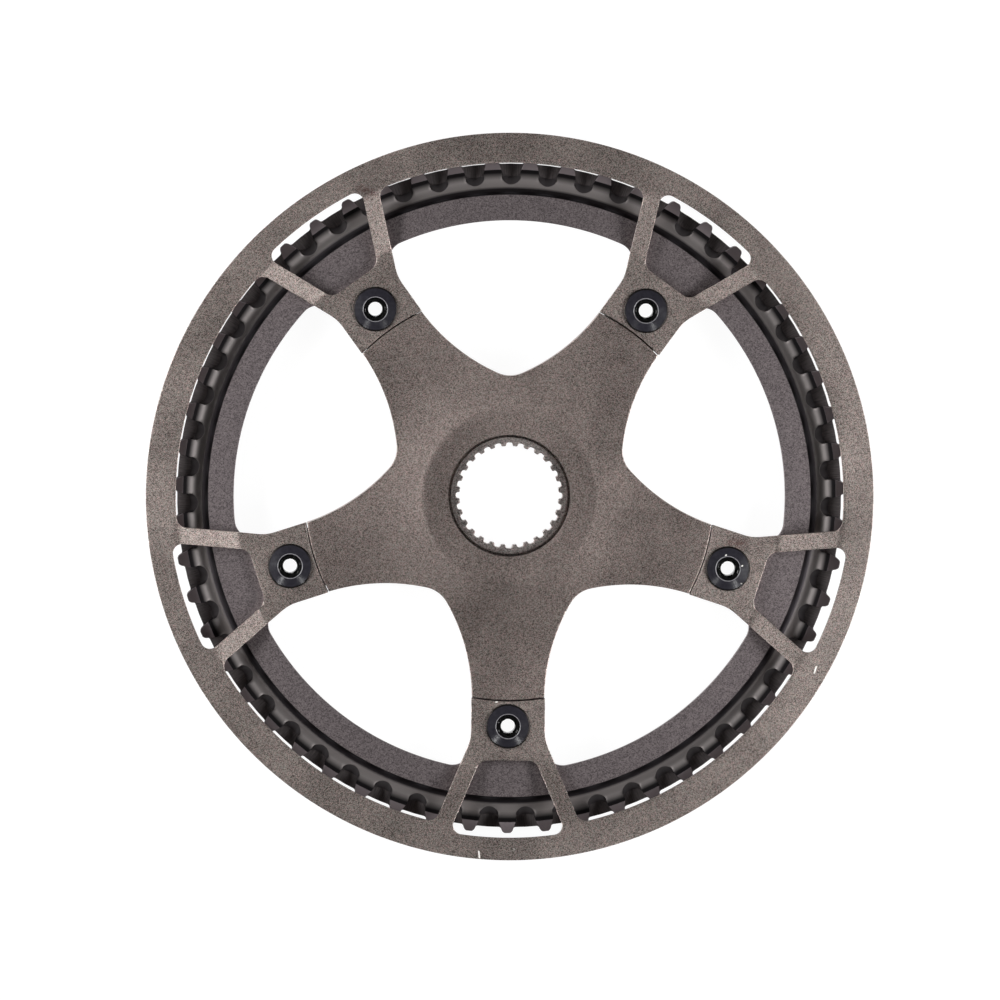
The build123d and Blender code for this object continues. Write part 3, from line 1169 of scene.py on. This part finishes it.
@dataclass
class BeltGuard:
    """The guard: a proud outer ring on five Y-shaped spokes with bolt pads."""

    thickness: float = 2.3
    pad_back: float = 11.0
    ring_offset: float = 5.0
    outer_radius: float = 102.65
    outer_points: int = 440
    inner_radius: float = 94.18
    window_radius: float = 96.339
    bend_radius: float = 77.0
    bend_reach: float = 0.9
    bend_shares: tuple[float, ...] = (-1.0, -0.5, 0.0, 0.5, 1.0)
    pad_inner_radius: float = 58.0
    pad_width: float = 20.8
    pad_length: float = 16.7
    flare_radius: float = 68.7
    flare_round: float = 12.0
    pad_corner_round: float = 3.4
    spoke_angle: float = math.radians(23.2)
    spoke_width: float = 4.7
    window_round: float = 2.6
    ring_round: float = 3.0
    hole_radius: float = 4.05
    edge_round: float = 0.1

    def eased(self, past: float) -> float:
        """How far a straight rise has come past a softly rounded bend.

        Args:
            past: the distance past the bend.

        Returns:
            The length of the rise so far.
        """
        if abs(past) < self.bend_reach:
            return (past + self.bend_reach) ** 2 / (4 * self.bend_reach)
        return max(past, 0.0)

    def bend_lines(self) -> list[float]:
        """Radii across both bends."""
        bends = (self.bend_radius, self.inner_radius)
        return [radius + share * self.bend_reach for radius in bends for share in self.bend_shares]

    def back(self, radius: float) -> float:
        """The back's height.

        Args:
            radius: where it is taken.

        Returns:
            The height.
        """
        slope = self.ring_offset / (self.inner_radius - self.bend_radius)
        rise = self.eased(radius - self.bend_radius) - self.eased(radius - self.inner_radius)
        return self.pad_back + slope * rise

    def front(self, radius: float) -> float:
        """The front's height at a radius."""
        return self.back(radius) + self.thickness

    def arm_edge(self) -> Loop:
        """Half the inner outline of one arm.

        Returns:
            The points from the middle of its pad to halfway to the next arm.
        """
        half = self.pad_width / 2
        flare = (self.flare_radius, half)
        spread = (self.inner_radius - self.flare_radius) * math.tan(self.spoke_angle)
        beyond = (self.inner_radius, half + spread)
        pad_end = arc((0, 0), self.pad_inner_radius, 0, math.asin(half / self.pad_inner_radius))
        bend = corner_round(pad_end[-1], flare, beyond, self.flare_round)
        into_ring = ring_round(flare, self.spoke_angle, 1, self.inner_radius, self.ring_round)
        reach = math.atan2(into_ring[-1][1], into_ring[-1][0])
        ring = arc((0, 0), self.inner_radius, reach, HALF_ARM)
        return pad_end + bend + into_ring[:-1] + ring

    def spoke_window(self) -> Loop:
        """The window between the two spokes of one arm.

        Returns:
            The closed outline.
        """
        base = self.pad_inner_radius + self.pad_length
        breadth = self.spoke_width / math.cos(self.spoke_angle)
        half = self.pad_width / 2 + (base - self.flare_radius) * math.tan(self.spoke_angle) - breadth
        ahead = (base + math.cos(self.spoke_angle), half + math.sin(self.spoke_angle))
        corner = corner_round((base, 0), (base, half), ahead, self.pad_corner_round)
        into_ring = ring_round((base, half), self.spoke_angle, -1, self.window_radius, self.window_round)
        ring = arc((0, 0), self.window_radius, math.atan2(into_ring[-1][1], into_ring[-1][0]), 0)
        edge = [(base, 0), *corner, *into_ring[:-1], *ring]
        return edge[:-1] + mirrored(edge)[:-1]

    def build(self, finish: BlastedFinish) -> None:
        """Builds and dresses the guard.

        Args:
            finish: its finish.
        """
        openings = [around(self.arm_edge())]
        openings += [turned(self.spoke_window(), angle) for angle in arm_angles()]
        openings += bolt_holes(self.hole_radius)
        edges = [Outline(circle(self.outer_radius, self.outer_points), 1, self.edge_round)]
        edges += [Outline(opening, -1, self.edge_round) for opening in openings]
        plate = Plate(edges, self.front, self.back, self.bend_lines())
        piece = into_object(plate.shape(), "guard_plate")
        finish_piece(piece, "guard_plate", "belt_guard", finish.material())


@dataclass
class Spider:
    """The dished spider with its five arms, bolt tabs and splined hub."""

    shoulder_radius: float = 57.6
    shoulder_front: float = 13.1
    arm_width: float = 20.4
    side_radius: float = 55.0
    crotch_round: float = 8.5
    dish_radius: float = 23.5
    dish_start: float = math.radians(10)
    dish_end: float = math.radians(2.3)
    dish_rows: int = 14
    arm_back: float = 3.5
    hub_radius: float = 25.0
    hub_round: float = 2.0
    hub_rows: int = 4
    recess_radius: float = 17.2
    recess_depth: float = 2.5
    groove_width: float = 0.7
    groove_depth: float = 3.0
    spline_count: int = 28
    spline_root: float = 15.0
    spline_tip: float = 14.0
    spline_gap: float = 1.8
    spline_round: float = 0.58
    spline_tip_round: float = 0.38
    tab_width: float = 17.0
    tab_thickness: float = 4.0
    tab_setback: float = 0.03
    tab_overlap: float = 3.0
    hole_radius: float = 5.05
    edge_round: float = 0.16
    bore_round: float = 0.12
    draft: float = 0.03
    line_count: int = 160

    def dish(self, radius: float) -> float:
        """The height of the dished front.

        Args:
            radius: where it is taken.

        Returns:
            The height.
        """
        change = math.sin(self.dish_start) - math.sin(self.dish_end)
        curve = (self.shoulder_radius - self.dish_radius) / change
        middle = self.shoulder_radius + curve * math.sin(self.dish_end)
        foot = self.shoulder_front - curve * math.cos(self.dish_end)
        return foot + math.sqrt(curve**2 - (middle - max(radius, self.dish_radius)) ** 2)

    def front(self, radius: float) -> float:
        """The front's height, with the recess about the bore and the groove at its foot.

        Args:
            radius: where it is taken.

        Returns:
            The height.
        """
        if radius > self.recess_radius:
            return self.dish(radius)
        seat = self.dish(radius) - self.recess_depth
        return seat - (self.groove_depth if radius > self.recess_radius - self.groove_width else 0.0)

    def back(self, radius: float) -> float:
        """The back's height, with the round beside the hub.

        Args:
            radius: where it is taken.

        Returns:
            The height.
        """
        if radius < self.hub_radius:
            return 0.0
        inward = max(self.hub_radius + self.hub_round - radius, 0.0)
        return self.arm_back - self.hub_round + math.sqrt(max(self.hub_round**2 - inward**2, 0.0))

    def star_edge(self) -> Loop:
        """Half the outline of one arm.

        Returns:
            The points from the middle of its end to the middle of the crotch.
        """
        side = Vector((self.shoulder_radius, self.arm_width / 2 + self.side_radius))
        middle = Vector((math.cos(HALF_ARM), math.sin(HALF_ARM)))
        reach = self.side_radius - self.crotch_round
        dot = middle.dot(side)
        crotch = middle * (dot - math.sqrt(dot**2 - side.length_squared + reach**2))
        touch = side + (crotch - side).normalized() * self.side_radius
        to_side = (side.length_squared + self.shoulder_radius**2 - self.side_radius**2) / (2 * side.length)
        corner_angle = math.atan2(side.y, side.x) - math.acos(to_side / self.shoulder_radius)
        end = arc((0, 0), self.shoulder_radius, 0, corner_angle)
        flank = short_arc(tuple(side), end[-1], tuple(touch), pace=0.7)
        bottom = short_arc(tuple(crotch), tuple(touch), tuple(crotch - middle * self.crotch_round))
        return end[:-1] + flank[:-1] + bottom

    def bore(self) -> Loop:
        """The splined outline of the bore.

        Returns:
            The closed outline.
        """
        half = self.spline_gap / 2
        foot = math.sqrt(self.spline_tip**2 - half**2)
        root = (self.spline_root, half)
        corner = corner_round((foot, half), root, (self.spline_root, -half), self.spline_round)
        pitch = math.tau / self.spline_count
        land = (self.spline_tip * math.cos(pitch / 2), self.spline_tip * math.sin(pitch / 2))
        tip = corner_round(land, (foot, half), root, self.spline_tip_round)
        side = [*tip, *corner]
        whole = [(x, -y) for x, y in side] + side[::-1] + [land]
        return [point for k in range(self.spline_count) for point in turned(whole, k * pitch)]

    def tab(self, angle: float) -> Shape:
        """One bolt tab, reaching into its arm's end.

        Args:
            angle: the arm's direction.

        Returns:
            The tab.
        """
        half = self.tab_width / 2
        end = arc((BOLT_RADIUS, 0), half, -math.pi / 2, math.pi / 2)
        inner = self.shoulder_radius - self.tab_overlap
        base, top = self.arm_back + self.tab_setback, self.arm_back + self.tab_thickness
        tab = prism([(inner, -half), *end, (inner, half)], base, top)
        tab.transform(Matrix.Rotation(angle, 4, "Z"))
        return tab

    def bend_lines(self) -> list[float]:
        """The radii of the steps, the hub's round and the dish.

        Returns:
            The radii, sorted.
        """
        walls = [self.recess_radius - self.groove_width, self.recess_radius, self.hub_radius]
        lines = [wall + side * self.draft for wall in walls for side in (-1, 1)] + [self.dish_radius]
        lines += [self.hub_radius + self.hub_round * k / self.hub_rows for k in range(1, self.hub_rows + 1)]
        run = self.shoulder_radius - self.dish_radius
        lines += [self.dish_radius + run * k / self.dish_rows for k in range(2, self.dish_rows)]
        return sorted(lines)

    def build(self, finish: BlastedFinish) -> None:
        """Builds and dresses the spider.

        Args:
            finish: its finish.
        """
        star = Outline(around(self.star_edge()), 1, self.edge_round)
        edges = [star, Outline(self.bore(), -1, self.bore_round)]
        plate = Plate(edges, self.front, self.back, self.bend_lines(), self.line_count)
        piece = into_object(plate.shape(), "spider_body")
        for angle in arm_angles():
            carve(piece, self.tab(angle), Carving.ADD)
        for hole in bolt_holes(self.hole_radius):
            carve(piece, prism(hole, 0.0, self.arm_back + self.tab_thickness + LONG_OVERCUT), Carving.CUT)
        finish_piece(piece, "spider_body", "spider", finish.material())


@dataclass
class BeltRing:
    """The toothed belt ring: a web with bolt tabs, a front channel and 55 teeth with a centre fin."""

    tooth_count: int = 55
    belt_pitch: float = 11.0
    pitch_line_offset: float = 0.95
    tooth_height: float = 5.15
    flank_angle: float = math.radians(21.8)
    root_gap: float = 4.65
    root_sag: float = 0.5
    tip_round: float = 1.6
    bevel_length: float = 3.1
    bevel_drop: float = 0.9
    width: float = 11.0
    fin_thickness: float = 2.0
    fin_drop: float = 1.5
    fin_crown: float = 0.1
    fin_round: float = 0.85
    relief_width: float = 5.4
    relief_radius: float = 2.75
    relief_run: float = 2.4
    relief_setout: float = 0.06
    channel_depth: float = 2.4
    channel_width: float = 7.15
    channel_inner_run: float = 2.4
    channel_outer_run: float = 4.4
    rim_inner_radius: float = 84.192
    rim_root_round: float = 2.5
    web_inner_radius: float = 77.842
    web_thickness: float = 3.5
    tab_inner_radius: float = 57.8
    tab_width: float = 20.4
    tab_root_round: float = 5.4
    hole_radius: float = 5.05
    seam_radius: float = 81.0
    sector_steps: int = 6
    edge_round: float = 0.2
    tooth_edge: float = 0.14
    tooth_sharp: float = math.radians(28)

    def __post_init__(self) -> None:
        """Works out the radii and heights that follow from the sizes."""
        self.tip = self.tooth_count * self.belt_pitch / math.tau - self.pitch_line_offset
        self.root = self.tip - self.tooth_height
        self.root_corner = self.root + self.root_sag
        self.fin = self.tip - self.fin_drop
        self.ridge = self.tip - self.bevel_length
        self.channel_radius = self.ridge - self.channel_width
        self.fin_back = (self.width - self.fin_thickness) / 2
        self.fin_front = self.fin_back + self.fin_thickness
        self.floor = self.width - self.channel_depth
        self.web_back = self.width - self.web_thickness
        self.half_tooth = math.pi / self.tooth_count

    def channel_side(self, edge: float, run: float) -> Loop:
        """One curved side of the channel, from its floor up to an edge.

        Args:
            edge: the radius of the edge.
            run: how far out from the edge the curve meets the floor.

        Returns:
            The points, as radii and heights.
        """
        radius = (run**2 + self.channel_depth**2) / (2 * self.channel_depth)
        foot = (edge + run, self.floor)
        return short_arc((foot[0], self.floor + radius), foot, (edge, self.width), pace=0.3)

    def section(self) -> Loop:
        """The rim's section.

        Returns:
            The points from the seam outwards and back, as radii and heights.
        """
        root = self.rim_root_round
        return [
            (self.seam_radius, self.width),
            *reversed(self.channel_side(self.channel_radius, self.channel_inner_run)),
            *self.channel_side(self.ridge, -self.channel_outer_run),
            (self.tip, self.width - self.bevel_drop),
            (self.tip, self.bevel_drop),
            (self.ridge, 0.0),
            (self.rim_inner_radius, 0.0),
            *arc((self.rim_inner_radius - root, self.web_back - root), root, 0, math.pi / 2, pace=0.4),
            (self.seam_radius, self.web_back),
        ]

    def gap_half(self, distance: float) -> float:
        """Half the width of a tooth gap between its flanks at a distance along its middle."""
        return self.root_gap / 2 + (distance - self.root_corner) * math.tan(self.flank_angle)

    def gap(self, floor: float, corner: float, rounding: float) -> Loop:
        """The outline of one tooth gap.

        Args:
            floor: the radius of its floor.
            corner: the distance at which the floor meets the flanks.
            rounding: the radius of the rounds beside the floor, or 0.

        Returns:
            The outline, reaching past the tooth tips.
        """
        along = (math.cos(self.flank_angle), math.sin(self.flank_angle))
        start = self.tip - self.tip_round * (1 - along[1])
        flank = (start, self.gap_half(start))
        mouth = (self.tip, flank[1] + self.tip_round * along[0])
        centre = (flank[0] - self.tip_round * along[1], mouth[1])
        foot = (corner, self.gap_half(corner))
        if rounding:
            bottom = [(floor, 0), *corner_round((floor, 0), foot, flank, rounding)]
        else:
            bend = (foot[1] ** 2 + (corner - floor) ** 2) / (2 * (corner - floor))
            bottom = short_arc((floor + bend, 0), (floor, 0), foot, pace=0.5)
        side = [*bottom, *short_arc(centre, flank, mouth, pace=0.2), (self.tip + LONG_OVERCUT, mouth[1])]
        return side + mirrored(side)[:-1]

    def relief(self, reach: float) -> Loop:
        """The outline of the round-bottomed mud relief.

        Args:
            reach: how far its slope runs, which it is long enough for.

        Returns:
            The closed outline.
        """
        floor = self.root + self.relief_setout
        half = self.relief_width / 2
        side = floor + self.relief_radius - math.sqrt(self.relief_radius**2 - half**2)
        end = self.tip + LONG_OVERCUT + reach
        bottom = short_arc((floor + self.relief_radius, 0), (side, half), (side, -half), pace=0.4)
        return [*bottom, (end, -half), (end, half)]

    def sector(self) -> Thing:
        """One tooth pitch of the rim, centred on a gap on the X axis and open towards its neighbours.

        Returns:
            The object.
        """
        steps = self.sector_steps
        angles = [self.half_tooth * (2 * k / steps - 1) for k in range(steps + 1)]
        piece = into_object(lathe(self.section(), angles), "tooth")
        above, below = self.width + OVERCUT, -OVERCUT
        front_reach = self.relief_run / (self.floor - self.fin_front) * (above - self.fin_front)
        back_reach = self.relief_run / self.fin_back * (self.fin_back - below)
        gap = self.gap(self.root, self.root_corner, 0.0)
        back_relief = [(x - back_reach, y) for x, y in self.relief(back_reach)]
        over_fin = self.gap(self.fin, self.fin - self.fin_crown, self.fin_round)
        for tool in (
            prism(gap, self.fin_front, above),
            prism(self.relief(front_reach), self.fin_front, above, -front_reach),
            prism(gap, below, self.fin_back),
            prism(back_relief, below, self.fin_back, back_reach),
            prism(over_fin, self.fin_back, self.fin_front),
        ):
            carve(piece, tool, Carving.CUT)
        self._open_ends(piece)
        return piece

    def _open_ends(self, piece: Thing) -> None:
        """Cleans the carved pitch, takes off its end and seam faces and rounds its edges.

        Args:
            piece: the carved pitch.
        """
        shape = lifted(piece)
        bmesh.ops.dissolve_degenerate(shape, edges=shape.edges[:], dist=WELD)
        flatten(shape)
        ends = []
        for face in shape.faces:
            spots = [v.co for v in face.verts]
            turn = all(abs(abs(math.atan2(p.y, p.x)) - self.half_tooth) < SAME_TURN for p in spots)
            seam = all(abs(math.hypot(p.x, p.y) - self.seam_radius) < WELD for p in spots)
            same_side = len({p.y > 0 for p in spots}) == 1
            if (turn and same_side) or seam:
                ends.append(face)
        bmesh.ops.delete(shape, geom=ends, context="FACES")
        soften(shape, self.tooth_edge, self.tooth_sharp)
        put_back(shape, piece)

    def web_edge(self) -> Loop:
        """Half the web's inner outline at one bolt tab.

        Returns:
            The points from the middle of the tab's end to halfway to the next tab.
        """
        half = self.tab_width / 2
        end = arc((0, 0), self.tab_inner_radius, 0, math.asin(half / self.tab_inner_radius))
        corner = (self.tab_inner_radius, half)
        into_web = ring_round(corner, 0.0, 1, self.web_inner_radius, self.tab_root_round)
        reach = math.atan2(into_web[-1][1], into_web[-1][0])
        return end + into_web[:-1] + arc((0, 0), self.web_inner_radius, reach, HALF_ARM)

    def web(self) -> Shape:
        """The web with its bolt tabs.

        Returns:
            The shape, open at the seam to the toothed rim.
        """
        seam = circle(self.seam_radius, self.tooth_count * self.sector_steps, FIRST_ARM)
        openings = [around(self.web_edge()), *bolt_holes(self.hole_radius)]
        edges = [Outline(seam, 1, 0.0)] + [Outline(opening, -1, self.edge_round) for opening in openings]
        return Plate(edges, lambda radius: self.width, lambda radius: self.web_back).shape()

    def build(self, finish: BeltRingFinish) -> None:
        """Builds and dresses the ring.

        Args:
            finish: its finish.
        """
        paint = finish.material()
        piece = self.sector()
        repeat(piece, self.tooth_count, FIRST_ARM + self.half_tooth, WELD, paint)
        web = into_object(self.web(), "web")
        shape = lifted(piece, web)
        bpy.data.objects.remove(web)
        open_edges = sum(1 for e in shape.edges if len(e.link_faces) != 2)
        log.info("belt ring: %d edges without two faces", open_edges)
        put_back(shape, piece)
        finish_piece(piece, "toothed_ring", "sprocket_ring", paint)


@dataclass
class RingBolts:
    """The five hollow bolts with a six-lobed socket.

    The lip holds the points of the rounded mouth, out from its radius and up from the head's top.
    """

    end: float = 2.6
    end_break: float = 0.5
    seat: float = 13.3
    seat_break: float = 0.1
    shank_radius: float = 3.95
    head_radius: float = 6.3
    head_edge: float = 0.8
    head_height: float = 1.5
    edge_break: float = 0.35
    edge_drop: float = 0.45
    mouth_radius: float = 3.5
    lip: tuple[Point, ...] = ((0.3, -0.1), (0.12, -0.04), (-0.02, -0.05), (-0.14, -0.11), (-0.24, -0.21))
    bore_radius: float = 2.0
    lobe_radius: float = 0.75
    lobe_circle: float = 2.05
    lobe_count: int = 6
    socket_depth: float = 3.0
    socket_break: Point = (0.06, 0.04)
    steps: int = 96

    def lobed(self, angle: float) -> float:
        """The socket wall's radius.

        Args:
            angle: where it is taken, about the bolt's axis.

        Returns:
            The radius.
        """
        pitch = math.tau / self.lobe_count
        off = (angle + pitch / 2) % pitch - pitch / 2
        across = self.lobe_circle * math.sin(off)
        if abs(across) >= self.lobe_radius:
            return self.lobe_circle
        lobe = self.lobe_circle * math.cos(off) + math.sqrt(self.lobe_radius**2 - across**2)
        return max(self.lobe_circle, lobe)

    def rows(self) -> Loop:
        """The bolt's section from the end of its shank over its head into the socket.

        Returns:
            The radii and heights; a radius of 0 stands for the lobed wall.
        """
        top = self.seat + self.head_height
        edge = self.seat + self.head_edge
        socket = self.lobe_circle + self.lobe_radius
        socket_top = top - (self.mouth_radius - socket)
        socket_end = socket_top - self.socket_depth
        return [
            (self.bore_radius, self.end),
            (self.shank_radius - self.end_break, self.end),
            (self.shank_radius, self.end + self.end_break),
            (self.shank_radius, self.seat),
            (self.head_radius - self.seat_break, self.seat),
            (self.head_radius, self.seat + self.seat_break),
            (self.head_radius, edge - self.edge_drop),
            (self.head_radius - self.edge_break, edge),
            *((self.mouth_radius + out, top + up) for out, up in self.lip),
            (socket + self.socket_break[0], socket_top + self.socket_break[1]),
            (0.0, socket_top),
            (0.0, socket_end),
            (self.bore_radius, socket_end),
        ]

    def shape(self) -> Shape:
        """One bolt on the X side of the axis.

        Returns:
            The closed bolt.
        """
        bolt = bmesh.new()
        turns = [k * math.tau / self.steps for k in range(self.steps)]
        rings = []
        for radius, height in self.rows():
            reaches = [(radius or self.lobed(turn), turn) for turn in turns]
            spots = [(BOLT_RADIUS + r * math.cos(turn), r * math.sin(turn), height) for r, turn in reaches]
            rings.append([bolt.verts.new(spot) for spot in spots])
        for one, two in zip(rings, rings[1:] + rings[:1]):
            for k in range(self.steps):
                n = (k + 1) % self.steps
                bolt.faces.new((one[k], one[n], two[n], two[k]))
        bmesh.ops.recalc_face_normals(bolt, faces=bolt.faces[:])
        return bolt

    def build(self, finish: CoatedFinish) -> None:
        """Builds and dresses the bolts.

        Args:
            finish: their finish.
        """
        paint = finish.material()
        piece = into_object(self.shape(), "hollow_bolts")
        repeat(piece, ARM_COUNT, FIRST_ARM, FINE_WELD, paint)
        finish_piece(piece, "hollow_bolts", "ring_bolts", paint)


@dataclass
class SleeveNuts:
    """The five slotted sleeve nuts behind the spider's tabs."""

    back: float = 2.0
    flange_top: float = 3.5
    end: float = 10.4
    thread_radius: float = 4.0
    barrel_radius: float = 5.0
    flange_radius: float = 6.3
    slot_width: float = 2.0
    slot_depth: float = 0.7
    edge_round: float = 0.15
    sharp: float = math.radians(40)
    steps: int = 72

    def build(self, finish: CoatedFinish) -> None:
        """Builds and dresses the nuts.

        Args:
            finish: their finish.
        """
        paint = finish.material()
        profile = [
            (self.thread_radius, self.back),
            (self.flange_radius, self.back),
            (self.flange_radius, self.flange_top),
            (self.barrel_radius, self.flange_top),
            (self.barrel_radius, self.end),
            (self.thread_radius, self.end),
        ]
        turns = [k * math.tau / self.steps for k in range(self.steps + 1)]
        piece = into_object(lathe(profile, turns, BOLT_RADIUS), "sleeve_nuts_slotted")
        half = self.slot_width / 2
        inner, outer = (BOLT_RADIUS + side * (self.flange_radius + OVERCUT) for side in (-1, 1))
        slot = [(inner, -half), (outer, -half), (outer, half), (inner, half)]
        carve(piece, prism(slot, self.back - OVERCUT, self.back + self.slot_depth), Carving.CUT)
        shape = lifted(piece)
        flatten(shape)
        soften(shape, self.edge_round, self.sharp)
        put_back(shape, piece)
        repeat(piece, ARM_COUNT, FIRST_ARM, FINE_WELD, paint)
        finish_piece(piece, "sleeve_nuts_slotted", "sleeve_nuts", paint)


@dataclass(frozen=True)
class Lamp:
    """One soft lamp that points at the sprocket.

    Attributes:
        name: its name.
        place: where it hangs, in metres.
        size: its width and height in metres.
        watts: its power.
    """

    name: str
    place: tuple[float, float, float]
    size: tuple[float, float]
    watts: float

    def hang(self) -> None:
        """Adds the lamp to the scene."""
        light = bpy.data.lights.new(self.name, "AREA")
        light.shape = "RECTANGLE"
        light.size, light.size_y = self.size
        light.energy = self.watts
        thing = bpy.data.objects.new(self.name, light)
        thing.location = self.place
        thing.rotation_euler = (-Vector(self.place)).to_track_quat("-Z", "Y").to_euler()
        bpy.context.scene.collection.objects.link(thing)


@dataclass
class Studio:
    """The pale floor, soft lamps and the camera that looks down on the sprocket, sized in metres."""

    distance: float = 5.5
    tilt_up: float = math.radians(1.7)
    tilt_left: float = math.radians(0.8)
    roll: float = math.radians(0.367)
    pixels_per_metre: float = 3541.0
    picture: float = 1000.0
    centre_pixel: Point = (509.69, 496.64)
    aim_height: float = 0.0173
    web_height: float = 0.011
    sensor: float = 36.0
    floor_size: float = 3.0
    floor_drop: float = 0.0004
    floor_tone: float = 0.8
    shadow_tone: float = 0.1
    glow: float = 0.95
    surroundings: float = 0.05
    lamps: tuple[Lamp, ...] = (
        Lamp("left softbox", (-0.315, 0.05, 0.246), (0.34, 0.1), 1.85),
        Lamp("right softbox", (0.315, -0.04, 0.246), (0.34, 0.1), 1.74),
        Lamp("lower left lamp", (-0.32, -0.46, 0.83), (0.07, 0.07), 0.3),
        Lamp("lower right lamp", (0.3, -0.48, 0.83), (0.07, 0.07), 0.3),
    )

    def floor_paint(self) -> Paint:
        """The floor's material: white to the camera and in reflections, with the sprocket's soft shadow.

        Returns:
            The material.
        """
        paint = bpy.data.materials.new("pale floor")
        paint.use_nodes = True
        tree = paint.node_tree
        tree.nodes.clear()
        out = tree.nodes.new("ShaderNodeOutputMaterial")
        path = tree.nodes.new("ShaderNodeLightPath")
        pale = tree.nodes.new("ShaderNodeBsdfDiffuse")
        pale.inputs["Color"].default_value = (*[self.floor_tone] * 3, 1)
        faint = tree.nodes.new("ShaderNodeBsdfDiffuse")
        faint.inputs["Color"].default_value = (*[self.shadow_tone] * 3, 1)
        glow = tree.nodes.new("ShaderNodeEmission")
        glow.inputs["Strength"].default_value = self.glow
        seen = tree.nodes.new("ShaderNodeAddShader")
        either = tree.nodes.new("ShaderNodeMath")
        either.operation = "MAXIMUM"
        any_of = tree.nodes.new("ShaderNodeMath")
        any_of.operation = "MAXIMUM"
        mix = tree.nodes.new("ShaderNodeMixShader")
        for source, target in (
            (faint.outputs[0], seen.inputs[0]),
            (glow.outputs[0], seen.inputs[1]),
            (path.outputs["Is Camera Ray"], either.inputs[0]),
            (path.outputs["Is Glossy Ray"], either.inputs[1]),
            (either.outputs[0], any_of.inputs[0]),
            (path.outputs["Is Transmission Ray"], any_of.inputs[1]),
            (any_of.outputs[0], mix.inputs[0]),
            (pale.outputs[0], mix.inputs[1]),
            (seen.outputs[0], mix.inputs[2]),
            (mix.outputs[0], out.inputs[0]),
        ):
            tree.links.new(source, target)
        return paint

    def floor(self) -> None:
        """Lays the floor just below the sprocket."""
        shape = bmesh.new()
        bmesh.ops.create_grid(shape, x_segments=1, y_segments=1, size=self.floor_size / 2)
        bmesh.ops.translate(shape, verts=shape.verts[:], vec=(0, 0, -self.floor_drop))
        floor = into_object(shape, "floor")
        floor.data.materials.append(self.floor_paint())

    def world(self) -> None:
        """Fills the surroundings with even light."""
        world = bpy.data.worlds.new("studio")
        world.use_nodes = True
        back = world.node_tree.nodes["Background"]
        back.inputs["Color"].default_value = (1, 1, 1, 1)
        back.inputs["Strength"].default_value = self.surroundings
        bpy.context.scene.world = world

    def camera(self) -> None:
        """Sets up the camera so that the sprocket fills the picture as in the photograph."""
        lens = bpy.data.cameras.new("camera")
        lens.sensor_width = self.sensor
        span = self.picture / self.pixels_per_metre
        lens.lens = self.sensor * (self.distance + self.aim_height - self.web_height) / span
        back = Vector((-math.sin(self.tilt_left), math.sin(self.tilt_up), 1.0)).normalized()
        right = Vector((math.sin(-self.roll), math.cos(self.roll), 0)).cross(back).normalized()
        up = back.cross(right)
        off_x = (self.centre_pixel[0] - self.picture / 2) / self.pixels_per_metre
        off_y = (self.picture / 2 - self.centre_pixel[1]) / self.pixels_per_metre
        aim = Vector((0, 0, self.aim_height)) - right * off_x - up * off_y
        thing = bpy.data.objects.new("camera", lens)
        turn = Matrix((right, up, back)).transposed()
        thing.matrix_world = Matrix.Translation(aim + back * self.distance) @ turn.to_4x4()
        bpy.context.scene.collection.objects.link(thing)
        bpy.context.scene.camera = thing

    def build(self) -> None:
        """Sets up the whole studio."""
        self.floor()
        self.world()
        for lamp in self.lamps:
            lamp.hang()
        self.camera()
        bpy.context.scene.view_settings.view_transform = "Standard"


def main() -> None:
    """Builds every piece and the studio."""
    logging.basicConfig(level=logging.INFO, format="%(message)s")
    rust = (0.17, 0.075, 0.07)
    worn = (
        Mark((-8.09, -100.2), (-7.9, -101.9), 0.3),
        Mark((1.8, -99.3), (1.95, -99.7), 0.2, strength=0.7),
        Mark((86.79, -47.5), (86.26, -49.2), 0.3),
        Mark((83.1, -40.3), (83.1, -40.5), 0.15, strength=0.6),
        Mark((-3.5, -58.2), (-3.1, -58.1), 0.22),
        Mark((62.8, -12.6), (65.8, -13.0), 2.4, rust, 0.0, 0.7, bare=False, broken=True),
        Mark((-43.0, 86.6), (-39.0, 85.4), 1.6, rust, 0.0, 0.8, bare=False, broken=True),
    )
    dust = (
        Mark((61.1, -16.3), (61.3, -16.2), 0.22),
        Mark((65.7, -19.3), (65.9, -19.2), 0.22),
        Mark((65.5, -24.2), (65.7, -24.3), 0.18, strength=0.6),
    )
    # Painted light for the bolts: the black rings are painted shade in the socket and around the head, the
    # light grey ring a painted highlight on the mouth.
    black = (0.003, 0.003, 0.003)
    rings = (PaintedLightBand(-1.0, 3.25, black), PaintedLightBand(3.4, 3.58, (0.22, 0.215, 0.225)), PaintedLightBand(5.85, 7.0, black))
    BeltGuard().build(BlastedFinish("guard blasted anodised", (0.405, 0.342, 0.316), marks=worn))
    Spider().build(BlastedFinish("spider blasted anodised", (0.355, 0.293, 0.271), seat_radius=0.0172))
    BeltRing().build(BeltRingFinish())
    RingBolts().build(CoatedFinish("bolts gloss black", (0.014, 0.0133, 0.0175), 0.19, dust, rings))
    SleeveNuts().build(CoatedFinish("nuts black", (0.03, 0.03, 0.032), 0.4))
    Studio().build()


if __name__ == "__main__":
    main()
